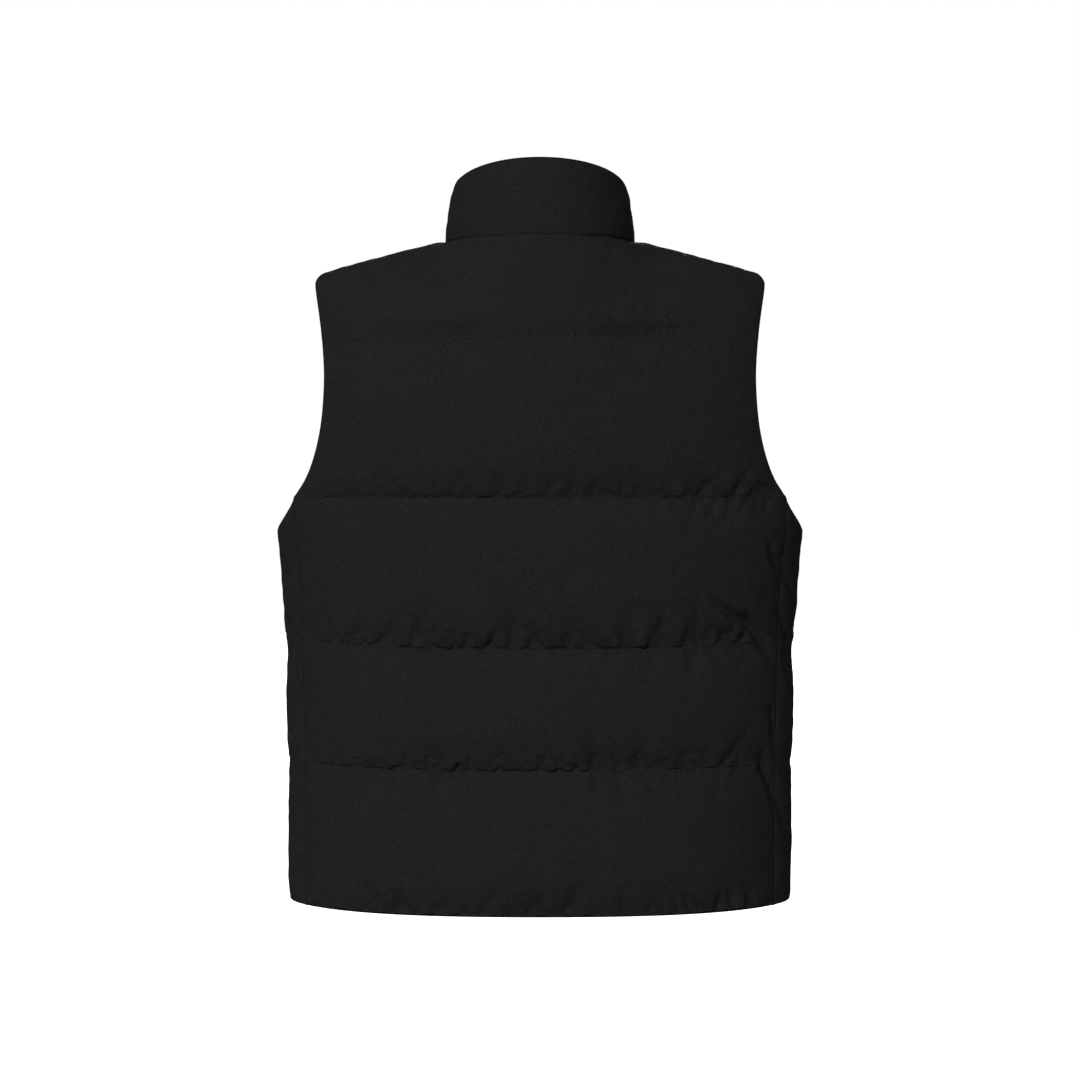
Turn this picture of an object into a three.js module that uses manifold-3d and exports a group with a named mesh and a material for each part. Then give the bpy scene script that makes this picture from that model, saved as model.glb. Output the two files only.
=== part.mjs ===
// A quilted, padded vest with a stand collar and a separating zip, filled out with nobody in it.
// Millimetres, +Z up. The front of the vest faces -Y and +X is the wearer's left.
// The origin is on the centre plane, level with the middle of the shoulder seams that carry the vest.

import * as THREE from "three";
import { mergeVertices } from "three/addons/utils/BufferGeometryUtils.js";
import Module from "manifold-3d";

const wasm = await Module();
wasm.setup();

// Driving dimensions. Heights are above the hem at the centre of the back.
// Widths, depths and heights in the tables are those of the plain inside of the wall.
const originHeight = 640;
const seamGap = 0.3;
const edgeThickness = 5;
const leastThickness = 2.5;
const roundness = 2.15;
const sideSeamAngle = 113;
const armholeFrontAngle = 67;
const underarmDip = 33;

const neckHalfWidth = 89.5;
const neckHalfDepth = 83.5;
const neckCentreY = -8.5;
const neckSideHeight = 652;
const neckBackRise = 3;
const neckFrontDrop = 60;
const neckClearance = 18;
const neckSpreadWidth = 75;
const seamBlend = 10;
const shoulderHalfWidth = 221;
const shoulderTipHeight = 621;
const shoulderRoll = 2.4;

const collarTopHalfWidth = 81;
const collarTopHalfDepth = 77;
const collarTopCentreY = -15;
const collarTopSideHeight = 712;
const collarTopBackRise = 21;
const collarTopFrontDrop = 47;
const collarLoft = 3;

const zipEdge = 7;
const tapeInner = 3.2;
const tapeOuter = 14;
const tapeThickness = 1;
const chainHalfWidth = 2.9;
const chainThickness = 2.4;
const zipBoxHeight = 9;
const sliderHeight = 654;

const sections = [
  { height: 0, halfWidth: 244.5, backDepth: 105, frontDepth: 105 },
  { height: 100, halfWidth: 244.5, backDepth: 103, frontDepth: 104 },
  { height: 200, halfWidth: 246.5, backDepth: 103, frontDepth: 105 },
  { height: 280, halfWidth: 248.5, backDepth: 104, frontDepth: 107 },
  { height: 340, halfWidth: 253, backDepth: 105, frontDepth: 109 },
  { height: 370, halfWidth: 257, backDepth: 105, frontDepth: 110 },
  { height: 401, halfWidth: 257, backDepth: 105, frontDepth: 110 },
  { height: 500, halfWidth: 257, backDepth: 105, frontDepth: 109 },
  { height: 660, halfWidth: 257, backDepth: 103, frontDepth: 106 },
];

const armholeEdges = [
  { height: 401, back: 238, front: 238 },
  { height: 420, back: 227, front: 225 },
  { height: 440, back: 219, front: 214 },
  { height: 465, back: 213, front: 206 },
  { height: 490, back: 210, front: 202 },
  { height: 520, back: 209, front: 201 },
  { height: 550, back: 211, front: 203 },
  { height: 580, back: 214.5, front: 208 },
  { height: 600, back: 217.5, front: 213 },
  { height: 621, back: 221, front: 221 },
];

// The lines that bound the channels, from the hem up. Each rises by sideRise towards the side and
// pulls in all of the padding but the share that kept gives.
const channelLines = [
  { height: -1.5, sideRise: 4, kept: 0 },
  { height: 140, sideRise: 5, kept: 0 },
  { height: 257, sideRise: 10, kept: 0 },
  { height: 401, sideRise: 3, kept: 0 },
  { height: 553, sideRise: -2, kept: 0.5 },
];
const topChannel = 4;
const rowsInChannel = [6, 6, 6, 6, 8];

// How far the padding swells a channel, at the middle of a panel and at its sides. It has sunk in
// its channel, so the cloth rises steeply above a line and falls gently to the next one.
const loftMiddle = 11;
const loftSide = 2.5;
const swellAbove = 10;
const swellBelow = 32;
const swellAcross = 12;

// The largest folds, each a trough: where its middle is, its tilt from level and its size.
const folds = [
  { face: "back", x: -238, height: 290, tilt: -72, length: 62, width: 11, depth: 4 },
  { face: "back", x: -212, height: 262, tilt: -58, length: 38, width: 10, depth: 3.5 },
  { face: "back", x: -160, height: 272, tilt: 66, length: 24, width: 12, depth: 4 },
  { face: "back", x: -232, height: 95, tilt: -76, length: 44, width: 10, depth: 3 },
  { face: "back", x: -150, height: 412, tilt: 50, length: 22, width: 12, depth: 3.5 },
  { face: "back", x: -205, height: 415, tilt: 42, length: 24, width: 12, depth: 3.5 },
  { face: "back", x: -85, height: 268, tilt: 62, length: 20, width: 11, depth: 3 },
  { face: "back", x: 20, height: 268, tilt: 60, length: 20, width: 11, depth: 3 },
  { face: "back", x: 100, height: 266, tilt: 60, length: 20, width: 11, depth: 3 },
  { face: "back", x: -52, height: 150, tilt: 58, length: 20, width: 12, depth: 3.5 },
  { face: "back", x: 95, height: 128, tilt: -58, length: 20, width: 12, depth: 3 },
  { face: "back", x: 232, height: 284, tilt: 70, length: 40, width: 10, depth: 2.5 },
  { face: "front", x: 228, height: 286, tilt: -68, length: 52, width: 11, depth: 3.5 },
  { face: "front", x: 178, height: 412, tilt: -48, length: 24, width: 12, depth: 3.5 },
  { face: "front", x: 62, height: 268, tilt: 62, length: 22, width: 11, depth: 3 },
  { face: "front", x: 130, height: 128, tilt: -58, length: 22, width: 12, depth: 3 },
  { face: "front", x: -226, height: 282, tilt: 66, length: 56, width: 11, depth: 3.5 },
  { face: "front", x: -172, height: 414, tilt: 50, length: 24, width: 12, depth: 3.5 },
  { face: "front", x: -84, height: 270, tilt: -60, length: 22, width: 11, depth: 3 },
  { face: "front", x: -120, height: 152, tilt: 60, length: 22, width: 12, depth: 3 },
];

const cloth = { color: 0x202020, roughness: 0.85, metalness: 0 };
const tapeCloth = { color: 0x1a1a1a, roughness: 0.9, metalness: 0 };
const plastic = { color: 0x161616, roughness: 0.5, metalness: 0 };
const metal = { color: 0x2a2a2c, roughness: 0.35, metalness: 0.9 };

// Small helpers
const radians = THREE.MathUtils.degToRad;
const mix = THREE.MathUtils.lerp;
const swell = (distance, length) => 1 - Math.exp(-Math.max(distance, 0) / length);
const signedPower = (value, power) => Math.sign(value) * Math.pow(Math.abs(value), power);

// Reads one column of a table at a height, along a smooth curve through its rows.
function readTable(table, column, height) {
  const last = table.length - 1;
  const at = THREE.MathUtils.clamp(height, table[0].height, table[last].height);
  let low = 0;
  while (low < last - 1 && table[low + 1].height < at) {
    low += 1;
  }
  const slope = (index) => {
    const before = table[Math.max(index - 1, 0)];
    const after = table[Math.min(index + 1, last)];
    return (after[column] - before[column]) / (after.height - before.height);
  };
  const span = table[low + 1].height - table[low].height;
  const t = (at - table[low].height) / span;
  const t2 = t * t;
  const t3 = t2 * t;
  const values = (2 * t3 - 3 * t2 + 1) * table[low][column] + (3 * t2 - 2 * t3) * table[low + 1][column];
  const slopes = (t3 - 2 * t2 + t) * slope(low) + (t3 - t2) * slope(low + 1);
  return values + slopes * span;
}

// The body's section is a rounded ring. Its angle starts at the centre front, and 90 is the side.
const ringShare = (angle) => signedPower(Math.sin(radians(angle)), 2 / roundness);

function ringAngle(share) {
  return THREE.MathUtils.radToDeg(Math.asin(Math.pow(share, roundness / 2)));
}

function ringDepth(face, x, height) {
  const share = Math.min(Math.abs(x) / readTable(sections, "halfWidth", height), 1);
  const depth = Math.pow(1 - Math.pow(share, roundness), 1 / roundness);
  if (face === "back") {
    return depth * readTable(sections, "backDepth", height);
  }
  return -depth * readTable(sections, "frontDepth", height);
}

// The upper edge of a panel: the neck seam as far as the neck point, then the shoulder seam.
function upperEdge(face, x) {
  const across = Math.min(Math.abs(x) / neckHalfWidth, 1);
  const along = Math.sqrt(1 - across * across);
  if (Math.abs(x) > neckHalfWidth) {
    const slope = (neckSideHeight - shoulderTipHeight) / (shoulderHalfWidth - neckHalfWidth);
    return { y: neckCentreY, height: neckSideHeight - slope * (Math.abs(x) - neckHalfWidth) };
  }
  if (face === "back") {
    return { y: neckCentreY + neckHalfDepth * along, height: neckSideHeight + neckBackRise * along };
  }
  const drop = neckFrontDrop * Math.pow(along, 1.2);
  return { y: neckCentreY - neckHalfDepth * along, height: neckSideHeight - drop };
}

// The height of a channel line round the ring. The third one dips under the arm, where it is an edge.
function lineHeight(line, angle) {
  const side = Math.pow(Math.abs(ringShare(angle)), 4);
  const height = channelLines[line].height + channelLines[line].sideRise * side;
  const underarm = (angle - armholeFrontAngle) / (sideSeamAngle - armholeFrontAngle);
  if (line !== 3 || underarm <= 0 || underarm >= 1) {
    return height;
  }
  return height - underarmDip * Math.pow(Math.sin(Math.PI * underarm), 0.7);
}

// A point of the plain inside of the wall. A row is the number of a channel line and a share of the
// way to the next one. The point is on the wearer's left, and its z is a height above the hem.
function insidePoint(face, row, angle) {
  const channel = Math.min(Math.floor(row), topChannel);
  const rise = row - channel;
  const edgeAngle = face === "back" ? sideSeamAngle : armholeFrontAngle;
  const edgeShare = ringShare(edgeAngle);
  const share = ringShare(angle);
  if (row <= 3) {
    const height = mix(lineHeight(channel, angle), lineHeight(Math.min(channel + 1, 3), angle), rise);
    const halfWidth = readTable(sections, "halfWidth", height);
    if (face === "front" && angle > edgeAngle) {
      const half = angle < 90 ? "frontDepth" : "backDepth";
      const y = -readTable(sections, half, height) * signedPower(Math.cos(radians(angle)), 2 / roundness);
      return new THREE.Vector3(halfWidth * share, y, height);
    }
    const x = acrossPanel(face, share / edgeShare, halfWidth * edgeShare);
    return new THREE.Vector3(x, ringDepth(face, x, height), height);
  }
  const topX = acrossPanel(face, share / edgeShare, shoulderHalfWidth);
  const top = upperEdge(face, topX);
  const topEdge = upperEdge(face, shoulderHalfWidth);
  const heights = [lineHeight(3, angle), lineHeight(4, angle), top.height];
  const edgeHeights = [lineHeight(3, edgeAngle), lineHeight(4, edgeAngle), topEdge.height];
  const eased = channel === topChannel ? Math.sin(rise * Math.PI / 2) : rise;
  const height = mix(heights[channel - 3], heights[channel - 2], eased);
  const edgeHeight = mix(edgeHeights[channel - 3], edgeHeights[channel - 2], eased);
  const x = acrossPanel(face, share / edgeShare, readTable(armholeEdges, face, edgeHeight));
  const rolled = rollShare((height - heights[0]) / (top.height - heights[0]), topX);
  const y = mix(ringDepth(face, x, height), top.y, rolled);
  const spread = channel === topChannel ? rise * neckSpread(topX, Math.abs(y - top.y)) : 0;
  const out = neckNormal(face, topX);
  const straight = face === "back" ? 1 : -1;
  return new THREE.Vector3(x + spread * out.x, y + spread * (out.y - straight), height);
}

// A panel comes to the neck seam square to it, clear of the collar, over this much of the way.
function neckSpread(topX, distance) {
  const past = THREE.MathUtils.smoothstep(topX, neckHalfWidth, neckHalfWidth + neckSpreadWidth);
  return (1 - past) * neckClearance * swell(distance, neckClearance);
}

// The direction out of the neck ring, seen from above.
function neckNormal(face, x) {
  const across = THREE.MathUtils.clamp(x / neckHalfWidth, -1, 1);
  const along = Math.sqrt(1 - across * across) * (face === "back" ? 1 : -1);
  return new THREE.Vector2(across, along);
}

// The x of a share of a panel's half width. A front starts at the zip, the back at its centre.
function acrossPanel(face, share, halfWidth) {
  if (face === "back") {
    return share * halfWidth;
  }
  const zipShare = zipEdge / shoulderHalfWidth;
  return zipEdge + (halfWidth - zipEdge) * (share - zipShare) / (1 - zipShare);
}

// How far a panel has leant from its section to its upper edge: little at the neck, over at the shoulder.
function rollShare(rise, topX) {
  const turn = mix(0.8, 1, Math.min(Math.pow(Math.abs(topX) / neckHalfWidth, 1.5), 1));
  const lean = (share) => 1 - Math.pow(1 - Math.pow(Math.min(share, 1), shoulderRoll), 1 / shoulderRoll);
  return lean(rise * turn) / lean(turn);
}

// The direction in which a wall has its thickness.
function outward(face, row, angle) {
  const topRow = topChannel + 1;
  const edgeShare = ringShare(face === "back" ? sideSeamAngle : armholeFrontAngle);
  const topX = acrossPanel(face, ringShare(angle) / edgeShare, shoulderHalfWidth);
  if (row >= topRow) {
    return topOutward(face, topX);
  }
  const underArm = face === "front" && angle >= armholeFrontAngle - 0.01;
  const highest = underArm && row <= 3 ? 3 : topRow;
  const step = 0.01;
  const up = insidePoint(face, Math.min(row + step, highest), angle);
  up.sub(insidePoint(face, Math.max(row - step, 0), angle));
  const round = insidePoint(face, row, angle + step * 10);
  round.sub(insidePoint(face, row, angle - step * 10));
  const normal = round.cross(up).normalize();
  if (row <= topChannel) {
    return normal;
  }
  const toTop = insidePoint(face, row, angle).distanceTo(insidePoint(face, topRow, angle));
  return normal.lerp(topOutward(face, topX), Math.exp(-toTop / seamBlend)).normalize();
}

function topOutward(face, topX) {
  return topX > neckHalfWidth + 0.01 ? new THREE.Vector3(0, 0, 1) : neckMitre(face, topX);
}

// At the neck seam the body and the collar end on one shared slant.
function neckMitre(face, x) {
  const plan = neckNormal(face, x);
  const middleTilt = face === "back" ? 17 : 6;
  const tilt = radians(mix(middleTilt, 48, plan.x * plan.x));
  const flat = Math.cos(tilt);
  return new THREE.Vector3(plan.x * flat, plan.y * flat, Math.sin(tilt));
}

// The depth of the folds at a point of a face.
function foldDepth(face, x, height) {
  let depth = 0;
  for (const fold of folds) {
    if (fold.face === face) {
      const tilt = radians(fold.tilt);
      const dx = x - fold.x;
      const dz = height - fold.height;
      const along = (dx * Math.cos(tilt) + dz * Math.sin(tilt)) / fold.length;
      const across = (dz * Math.cos(tilt) - dx * Math.sin(tilt)) / fold.width;
      depth += fold.depth * Math.exp(-along * along - across * across);
    }
  }
  return depth;
}

// The thickness of a padded panel: thin where it is sewn, swollen between.
function panelThickness(face, row, angle, side) {
  const point = insidePoint(face, row, angle);
  const channel = Math.min(Math.floor(row), topChannel);
  const toLower = point.distanceTo(insidePoint(face, channel, angle));
  const toUpper = point.distanceTo(insidePoint(face, channel + 1, angle));
  const edgeX = insidePoint(face, row, face === "back" ? sideSeamAngle : armholeFrontAngle).x;
  let toEdge = Math.max(edgeX - Math.abs(point.x), 0);
  if (face === "front" && row <= 3) {
    toEdge = radians(sideSeamAngle - angle) * readTable(sections, "frontDepth", point.z);
  }
  if (face === "front") {
    toEdge = Math.min(toEdge, point.x - zipEdge);
  }
  const share = Math.min(Math.abs(point.x) / readTable(sections, "halfWidth", point.z), 1);
  const loft = mix(loftMiddle, loftSide, Math.pow(share, 3));
  const keptBelow = channelLines[channel].kept;
  const keptAbove = channel === topChannel ? 0 : channelLines[channel + 1].kept;
  const fromLower = mix(swell(toLower, swellAbove), 1, keptBelow);
  const fromUpper = mix(swell(toUpper, swellBelow), 1, keptAbove);
  const padding = loft * fromLower * fromUpper * swell(toEdge, swellAcross);
  const fold = foldDepth(face, side * point.x, point.z) * swell(toEdge, swellAcross);
  return Math.max(edgeThickness + padding - fold, leastThickness);
}

// The rows of the body, closer together beside each line of stitching.
function bodyRows() {
  const rows = [];
  rowsInChannel.forEach((count, channel) => {
    for (let step = 0; step < count; step += 1) {
      rows.push(channel + (1 - Math.cos(Math.PI * step / count)) / 2);
    }
  });
  rows.push(topChannel + 1);
  return rows;
}

// The x of each column at the upper edge, from the centre out to the shoulder's tip.
const neckSteps = 6;
const neckSpacing = 1.3;
const shoulderSteps = 10;
const underarmSteps = 6;

function topStations(first) {
  const stations = [first];
  for (let step = 1; step <= neckSteps; step += 1) {
    stations.push(neckHalfWidth * Math.sin(Math.PI / 2 * Math.pow(step / neckSteps, neckSpacing)));
  }
  for (let step = 1; step <= shoulderSteps; step += 1) {
    stations.push(mix(neckHalfWidth, shoulderHalfWidth, step / shoulderSteps));
  }
  return stations;
}

function backAngles() {
  const angles = topStations(0).map((x) => {
    return 180 - ringAngle(x / shoulderHalfWidth * ringShare(sideSeamAngle));
  });
  return angles;
}

function frontAngles() {
  const edgeShare = ringShare(armholeFrontAngle);
  const angles = topStations(zipEdge).map((x) => ringAngle(x / shoulderHalfWidth * edgeShare));
  for (let step = 1; step <= underarmSteps; step += 1) {
    angles.push(mix(armholeFrontAngle, sideSeamAngle, step / underarmSteps));
  }
  return angles;
}

// A closed wall over a grid: outside, inside, and a rim along each edge that has no neighbour.
// Columns run counterclockwise seen from above and rows run up. The cells of mirrored columns are
// split along the other diagonal, so that both halves of the vest are alike.
function wallGeometry(rowCount, columnCount, pointPair, present, mirrored) {
  const positions = [];
  const triangles = [];
  for (let row = 0; row <= rowCount; row += 1) {
    for (let column = 0; column <= columnCount; column += 1) {
      const pair = pointPair(row, column);
      positions.push(...pair.outside.toArray(), ...pair.inside.toArray());
    }
  }
  const vertex = (row, column, inner) => 2 * (row * (columnCount + 1) + column) + inner;
  const quad = (a, b, c, d) => triangles.push(a, b, c, a, c, d);
  const has = (row, column) => {
    const onGrid = row >= 0 && row < rowCount && column >= 0 && column < columnCount;
    return onGrid && present(row, column);
  };
  for (let row = 0; row < rowCount; row += 1) {
    for (let column = 0; column < columnCount; column += 1) {
      if (has(row, column)) {
        const corners = [[row, column], [row, column + 1], [row + 1, column + 1], [row + 1, column]];
        const outer = corners.map(([r, c]) => vertex(r, c, 0));
        const inner = corners.map(([r, c]) => vertex(r, c, 1));
        const first = mirrored(column) ? 1 : 0;
        const turned = (index) => (index + first) % 4;
        quad(outer[turned(0)], outer[turned(1)], outer[turned(2)], outer[turned(3)]);
        quad(inner[turned(2)], inner[turned(1)], inner[turned(0)], inner[turned(3)]);
        const neighbours = [[row - 1, column], [row, column + 1], [row + 1, column], [row, column - 1]];
        neighbours.forEach(([r, c], edge) => {
          const next = (edge + 1) % 4;
          if (!has(r, c) && edge < 2) {
            quad(outer[next], outer[edge], inner[edge], inner[next]);
          } else if (!has(r, c)) {
            quad(outer[edge], inner[edge], inner[next], outer[next]);
          }
        });
      }
    }
  }
  const geometry = new THREE.BufferGeometry();
  geometry.setAttribute("position", new THREE.Float32BufferAttribute(positions, 3));
  geometry.setIndex(triangles);
  return geometry;
}

function namedMesh(name, geometry, look) {
  const mesh = new THREE.Mesh(geometry, new THREE.MeshStandardMaterial(look));
  mesh.geometry.computeVertexNormals();
  mesh.name = name;
  return mesh;
}

// Moves a point of the wearer's left to its side and from heights above the hem to the origin.
function placed(point, side) {
  return new THREE.Vector3(side * point.x, point.y, point.z - originHeight);
}

// Where a panel ends on a seam, half of the gap is taken off it.
function seamShift(face, row, angle) {
  const shift = new THREE.Vector3();
  const topRow = topChannel + 1;
  const half = seamGap / 2;
  if (row === topRow) {
    const edgeShare = ringShare(face === "back" ? sideSeamAngle : armholeFrontAngle);
    const topX = acrossPanel(face, ringShare(angle) / edgeShare, shoulderHalfWidth);
    shift.z = topX > neckHalfWidth + 0.01 ? 0 : -half;
    shift.y = topX > neckHalfWidth - 0.01 ? (face === "back" ? half : -half) : 0;
  }
  if (Math.abs(angle - sideSeamAngle) < 0.001 && row <= 3) {
    const away = insidePoint("front", row, angle + 0.1).sub(insidePoint("front", row, angle - 0.1));
    away.setZ(0).normalize().multiplyScalar(face === "back" ? half : -half);
    shift.add(away);
  }
  return shift;
}

function panelPair(face, row, angle, side) {
  const inside = insidePoint(face, row, angle).add(seamShift(face, row, angle));
  const out = outward(face, row, angle).multiplyScalar(panelThickness(face, row, angle, side));
  return { inside: placed(inside, side), outside: placed(inside.clone().add(out), side) };
}

function makeBack() {
  const rows = bodyRows();
  const half = backAngles();
  const left = half.slice().reverse().map((angle) => ({ angle, side: 1 }));
  const right = half.slice(1).map((angle) => ({ angle, side: -1 }));
  const columns = left.concat(right);
  const pair = (row, column) => panelPair("back", rows[row], columns[column].angle, columns[column].side);
  const mirrored = (column) => columns[column].side > 0 && column < left.length - 1;
  const geometry = wallGeometry(rows.length - 1, columns.length - 1, pair, () => true, mirrored);
  return namedMesh("back", geometry, cloth);
}

function makeFront(name, side) {
  const rows = bodyRows();
  const angles = frontAngles();
  if (side < 0) {
    angles.reverse();
  }
  const atEdge = (angle) => angle < armholeFrontAngle + 0.001;
  const pair = (row, column) => {
    const angle = rows[row] > 3 ? Math.min(angles[column], armholeFrontAngle) : angles[column];
    return panelPair("front", rows[row], angle, side);
  };
  const present = (row, column) => rows[row] < 3 || (atEdge(angles[column]) && atEdge(angles[column + 1]));
  const geometry = wallGeometry(rows.length - 1, angles.length - 1, pair, present, () => side < 0);
  return namedMesh(name, geometry, cloth);
}

// The plain inside of the collar. Its angle also starts at the centre front.
function collarPoint(rise, angle) {
  const across = Math.sin(radians(angle));
  const along = -Math.cos(radians(angle));
  const base = upperEdge(along > 0 ? "back" : "front", neckHalfWidth * across);
  const sloped = along > 0 ? collarTopBackRise * along : -collarTopFrontDrop * Math.pow(-along, 1.2);
  const x = mix(neckHalfWidth, collarTopHalfWidth, rise) * across;
  const y = mix(base.y, collarTopCentreY + collarTopHalfDepth * along, rise);
  return new THREE.Vector3(x, y, mix(base.height, collarTopSideHeight + sloped, rise));
}

function collarOutward(rise, angle) {
  const step = 0.01;
  if (rise === 0) {
    return neckMitre(angle > 90 ? "back" : "front", neckHalfWidth * Math.sin(radians(angle)));
  }
  const up = collarPoint(1, angle).sub(collarPoint(0, angle));
  const round = collarPoint(rise, angle + step).sub(collarPoint(rise, angle - step));
  return round.cross(up).normalize();
}

const collarRows = [0, 0.1, 0.28, 0.5, 0.72, 0.9, 1];
const collarLength = 72;

// The collar's columns stand on the columns of the body at the neck seam.
function collarAngles() {
  const across = (x) => THREE.MathUtils.radToDeg(Math.asin(Math.min(x / neckHalfWidth, 1)));
  const front = topStations(zipEdge).slice(0, neckSteps + 1).map(across);
  const back = topStations(0).slice(0, neckSteps).map((x) => 180 - across(x)).reverse();
  return front.concat(back);
}

function makeCollar() {
  const half = collarAngles();
  const left = half.map((angle) => ({ angle, side: 1 }));
  const right = half.slice(0, -1).reverse().map((angle) => ({ angle, side: -1 }));
  const columns = left.concat(right);
  const pair = (row, column) => {
    const { angle, side } = columns[column];
    const rise = collarRows[row];
    const inside = collarPoint(rise, angle);
    inside.z += rise === 0 ? seamGap / 2 : 0;
    const ends = swell(rise * collarLength, swellAcross) * swell((1 - rise) * collarLength, swellAcross);
    const toZip = radians(angle) * neckHalfWidth - zipEdge;
    const thickness = edgeThickness + collarLoft * ends * swell(toZip, swellAcross);
    const out = collarOutward(rise, angle).multiplyScalar(thickness);
    return { inside: placed(inside, side), outside: placed(inside.clone().add(out), side) };
  };
  const mirrored = (column) => column >= half.length - 1;
  const geometry = wallGeometry(collarRows.length - 1, columns.length - 1, pair, () => true, mirrored);
  return namedMesh("collar", geometry, cloth);
}

// The zip runs up the centre front, in the plane of the wall's inside. Each station gives a point
// of that plane at a given x, and the direction out of it.
function zipStations() {
  const station = (near, far, out) => {
    const at = (x) => near.clone().lerp(far, (x - near.x) / (far.x - near.x));
    return { at, out: out.setX(0).normalize() };
  };
  const [bodyNear, bodyFar] = frontAngles();
  const [collarNear, collarFar] = collarAngles();
  const body = bodyRows().slice(0, -1).map((row) => {
    const near = insidePoint("front", row, bodyNear);
    return station(near, insidePoint("front", row, bodyFar), outward("front", row, bodyNear));
  });
  const collar = collarRows.map((rise) => {
    return station(collarPoint(rise, collarNear), collarPoint(rise, collarFar), new THREE.Vector3(0, -1, 0));
  });
  return body.concat(collar);
}

function makeTape(name, side) {
  const stations = zipStations();
  const columns = side > 0 ? [tapeInner, zipEdge, tapeOuter] : [tapeOuter, zipEdge, tapeInner];
  const pair = (row, column) => {
    const out = stations[row].out;
    const point = stations[row].at(columns[column]);
    const outside = point.clone().addScaledVector(out, -seamGap);
    const inside = point.clone().addScaledVector(out, -seamGap - tapeThickness);
    return { inside: placed(inside, side), outside: placed(outside, side) };
  };
  const geometry = wallGeometry(stations.length - 1, 2, pair, () => true, () => side < 0);
  return namedMesh(name, geometry, tapeCloth);
}

function zipCentre(height) {
  const stations = zipStations().map((station) => {
    return station.at(tapeInner).addScaledVector(station.out, -seamGap - tapeThickness / 2);
  });
  let low = 0;
  while (low < stations.length - 2 && stations[low + 1].z < height) {
    low += 1;
  }
  const share = (height - stations[low].z) / (stations[low + 1].z - stations[low].z);
  return mix(stations[low].y, stations[low + 1].y, share);
}

const hemHeight = channelLines[0].height;
const chainBottom = hemHeight + 1 + zipBoxHeight + seamGap;
const chainTop = sliderHeight + 1.5;

function makeChain() {
  const inner = zipStations().map((station) => station.at(tapeInner).z);
  const between = inner.filter((z) => z > chainBottom + 1 && z < chainTop - 1);
  const heights = [chainBottom].concat(between, chainTop);
  const columns = [-chainHalfWidth, chainHalfWidth];
  const pair = (row, column) => {
    const y = zipCentre(heights[row]);
    const outside = new THREE.Vector3(columns[column], y - chainThickness / 2, heights[row]);
    const inside = new THREE.Vector3(columns[column], y + chainThickness / 2, heights[row]);
    return { inside: placed(inside, 1), outside: placed(outside, 1) };
  };
  const geometry = wallGeometry(heights.length - 1, 1, pair, () => true, () => false);
  return namedMesh("zip_chain", geometry, plastic);
}

// Hard pieces. Their outlines lie in the XZ plane and are extruded along Y.
function plate(shape, yFrom, yTo) {
  const settings = { depth: yTo - yFrom, bevelEnabled: false, curveSegments: 6 };
  const geometry = new THREE.ExtrudeGeometry(shape, settings);
  geometry.rotateX(Math.PI / 2);
  geometry.translate(0, yTo, 0);
  return solidOf(geometry);
}

function solidOf(geometry) {
  const bare = geometry.clone();
  bare.deleteAttribute("normal");
  bare.deleteAttribute("uv");
  const merged = mergeVertices(bare, 1e-4);
  const vertProperties = new Float32Array(merged.attributes.position.array);
  const triVerts = new Uint32Array(merged.index.array);
  return new wasm.Manifold(new wasm.Mesh({ numProp: 3, vertProperties, triVerts }));
}

function geometryOf(solid) {
  const mesh = solid.getMesh();
  const geometry = new THREE.BufferGeometry();
  geometry.setAttribute("position", new THREE.Float32BufferAttribute(mesh.vertProperties, 3));
  geometry.setIndex(Array.from(mesh.triVerts));
  return geometry;
}

// A four-sided outline with round corners, half as wide at the bottom as bottomHalf says.
function roundedOutline(bottomHalf, topHalf, bottom, top, radius) {
  const corners = [[-bottomHalf, bottom], [bottomHalf, bottom], [topHalf, top], [-topHalf, top]];
  const shape = new THREE.Shape();
  corners.forEach(([x, z], index) => {
    const corner = new THREE.Vector2(x, z);
    const before = new THREE.Vector2(...corners[(index + 3) % 4]).sub(corner).setLength(radius).add(corner);
    const after = new THREE.Vector2(...corners[(index + 1) % 4]).sub(corner).setLength(radius).add(corner);
    if (index === 0) {
      shape.moveTo(before.x, before.y);
    } else {
      shape.lineTo(before.x, before.y);
    }
    shape.quadraticCurveTo(x, z, after.x, after.y);
  });
  shape.closePath();
  return shape;
}

const sliderBottomHalf = 4.2;
const sliderTopHalf = 4.9;
const sliderHalfLength = 6;
const plateThickness = 1.1;
const runningGap = 0.35;
const flangeWidth = 0.9;
const bridgeInner = 1.6;
const bridgeOuter = 2.9;
const bridgeWidth = 2.2;
const pivotLift = 2.2;

const slideY = zipCentre(sliderHeight);
const frontPlateY = slideY - chainThickness / 2 - runningGap;
const backPlateY = slideY + chainThickness / 2 + runningGap;
const pivotY = frontPlateY - plateThickness - pivotLift;
const pivotZ = sliderHeight - originHeight;

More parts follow.
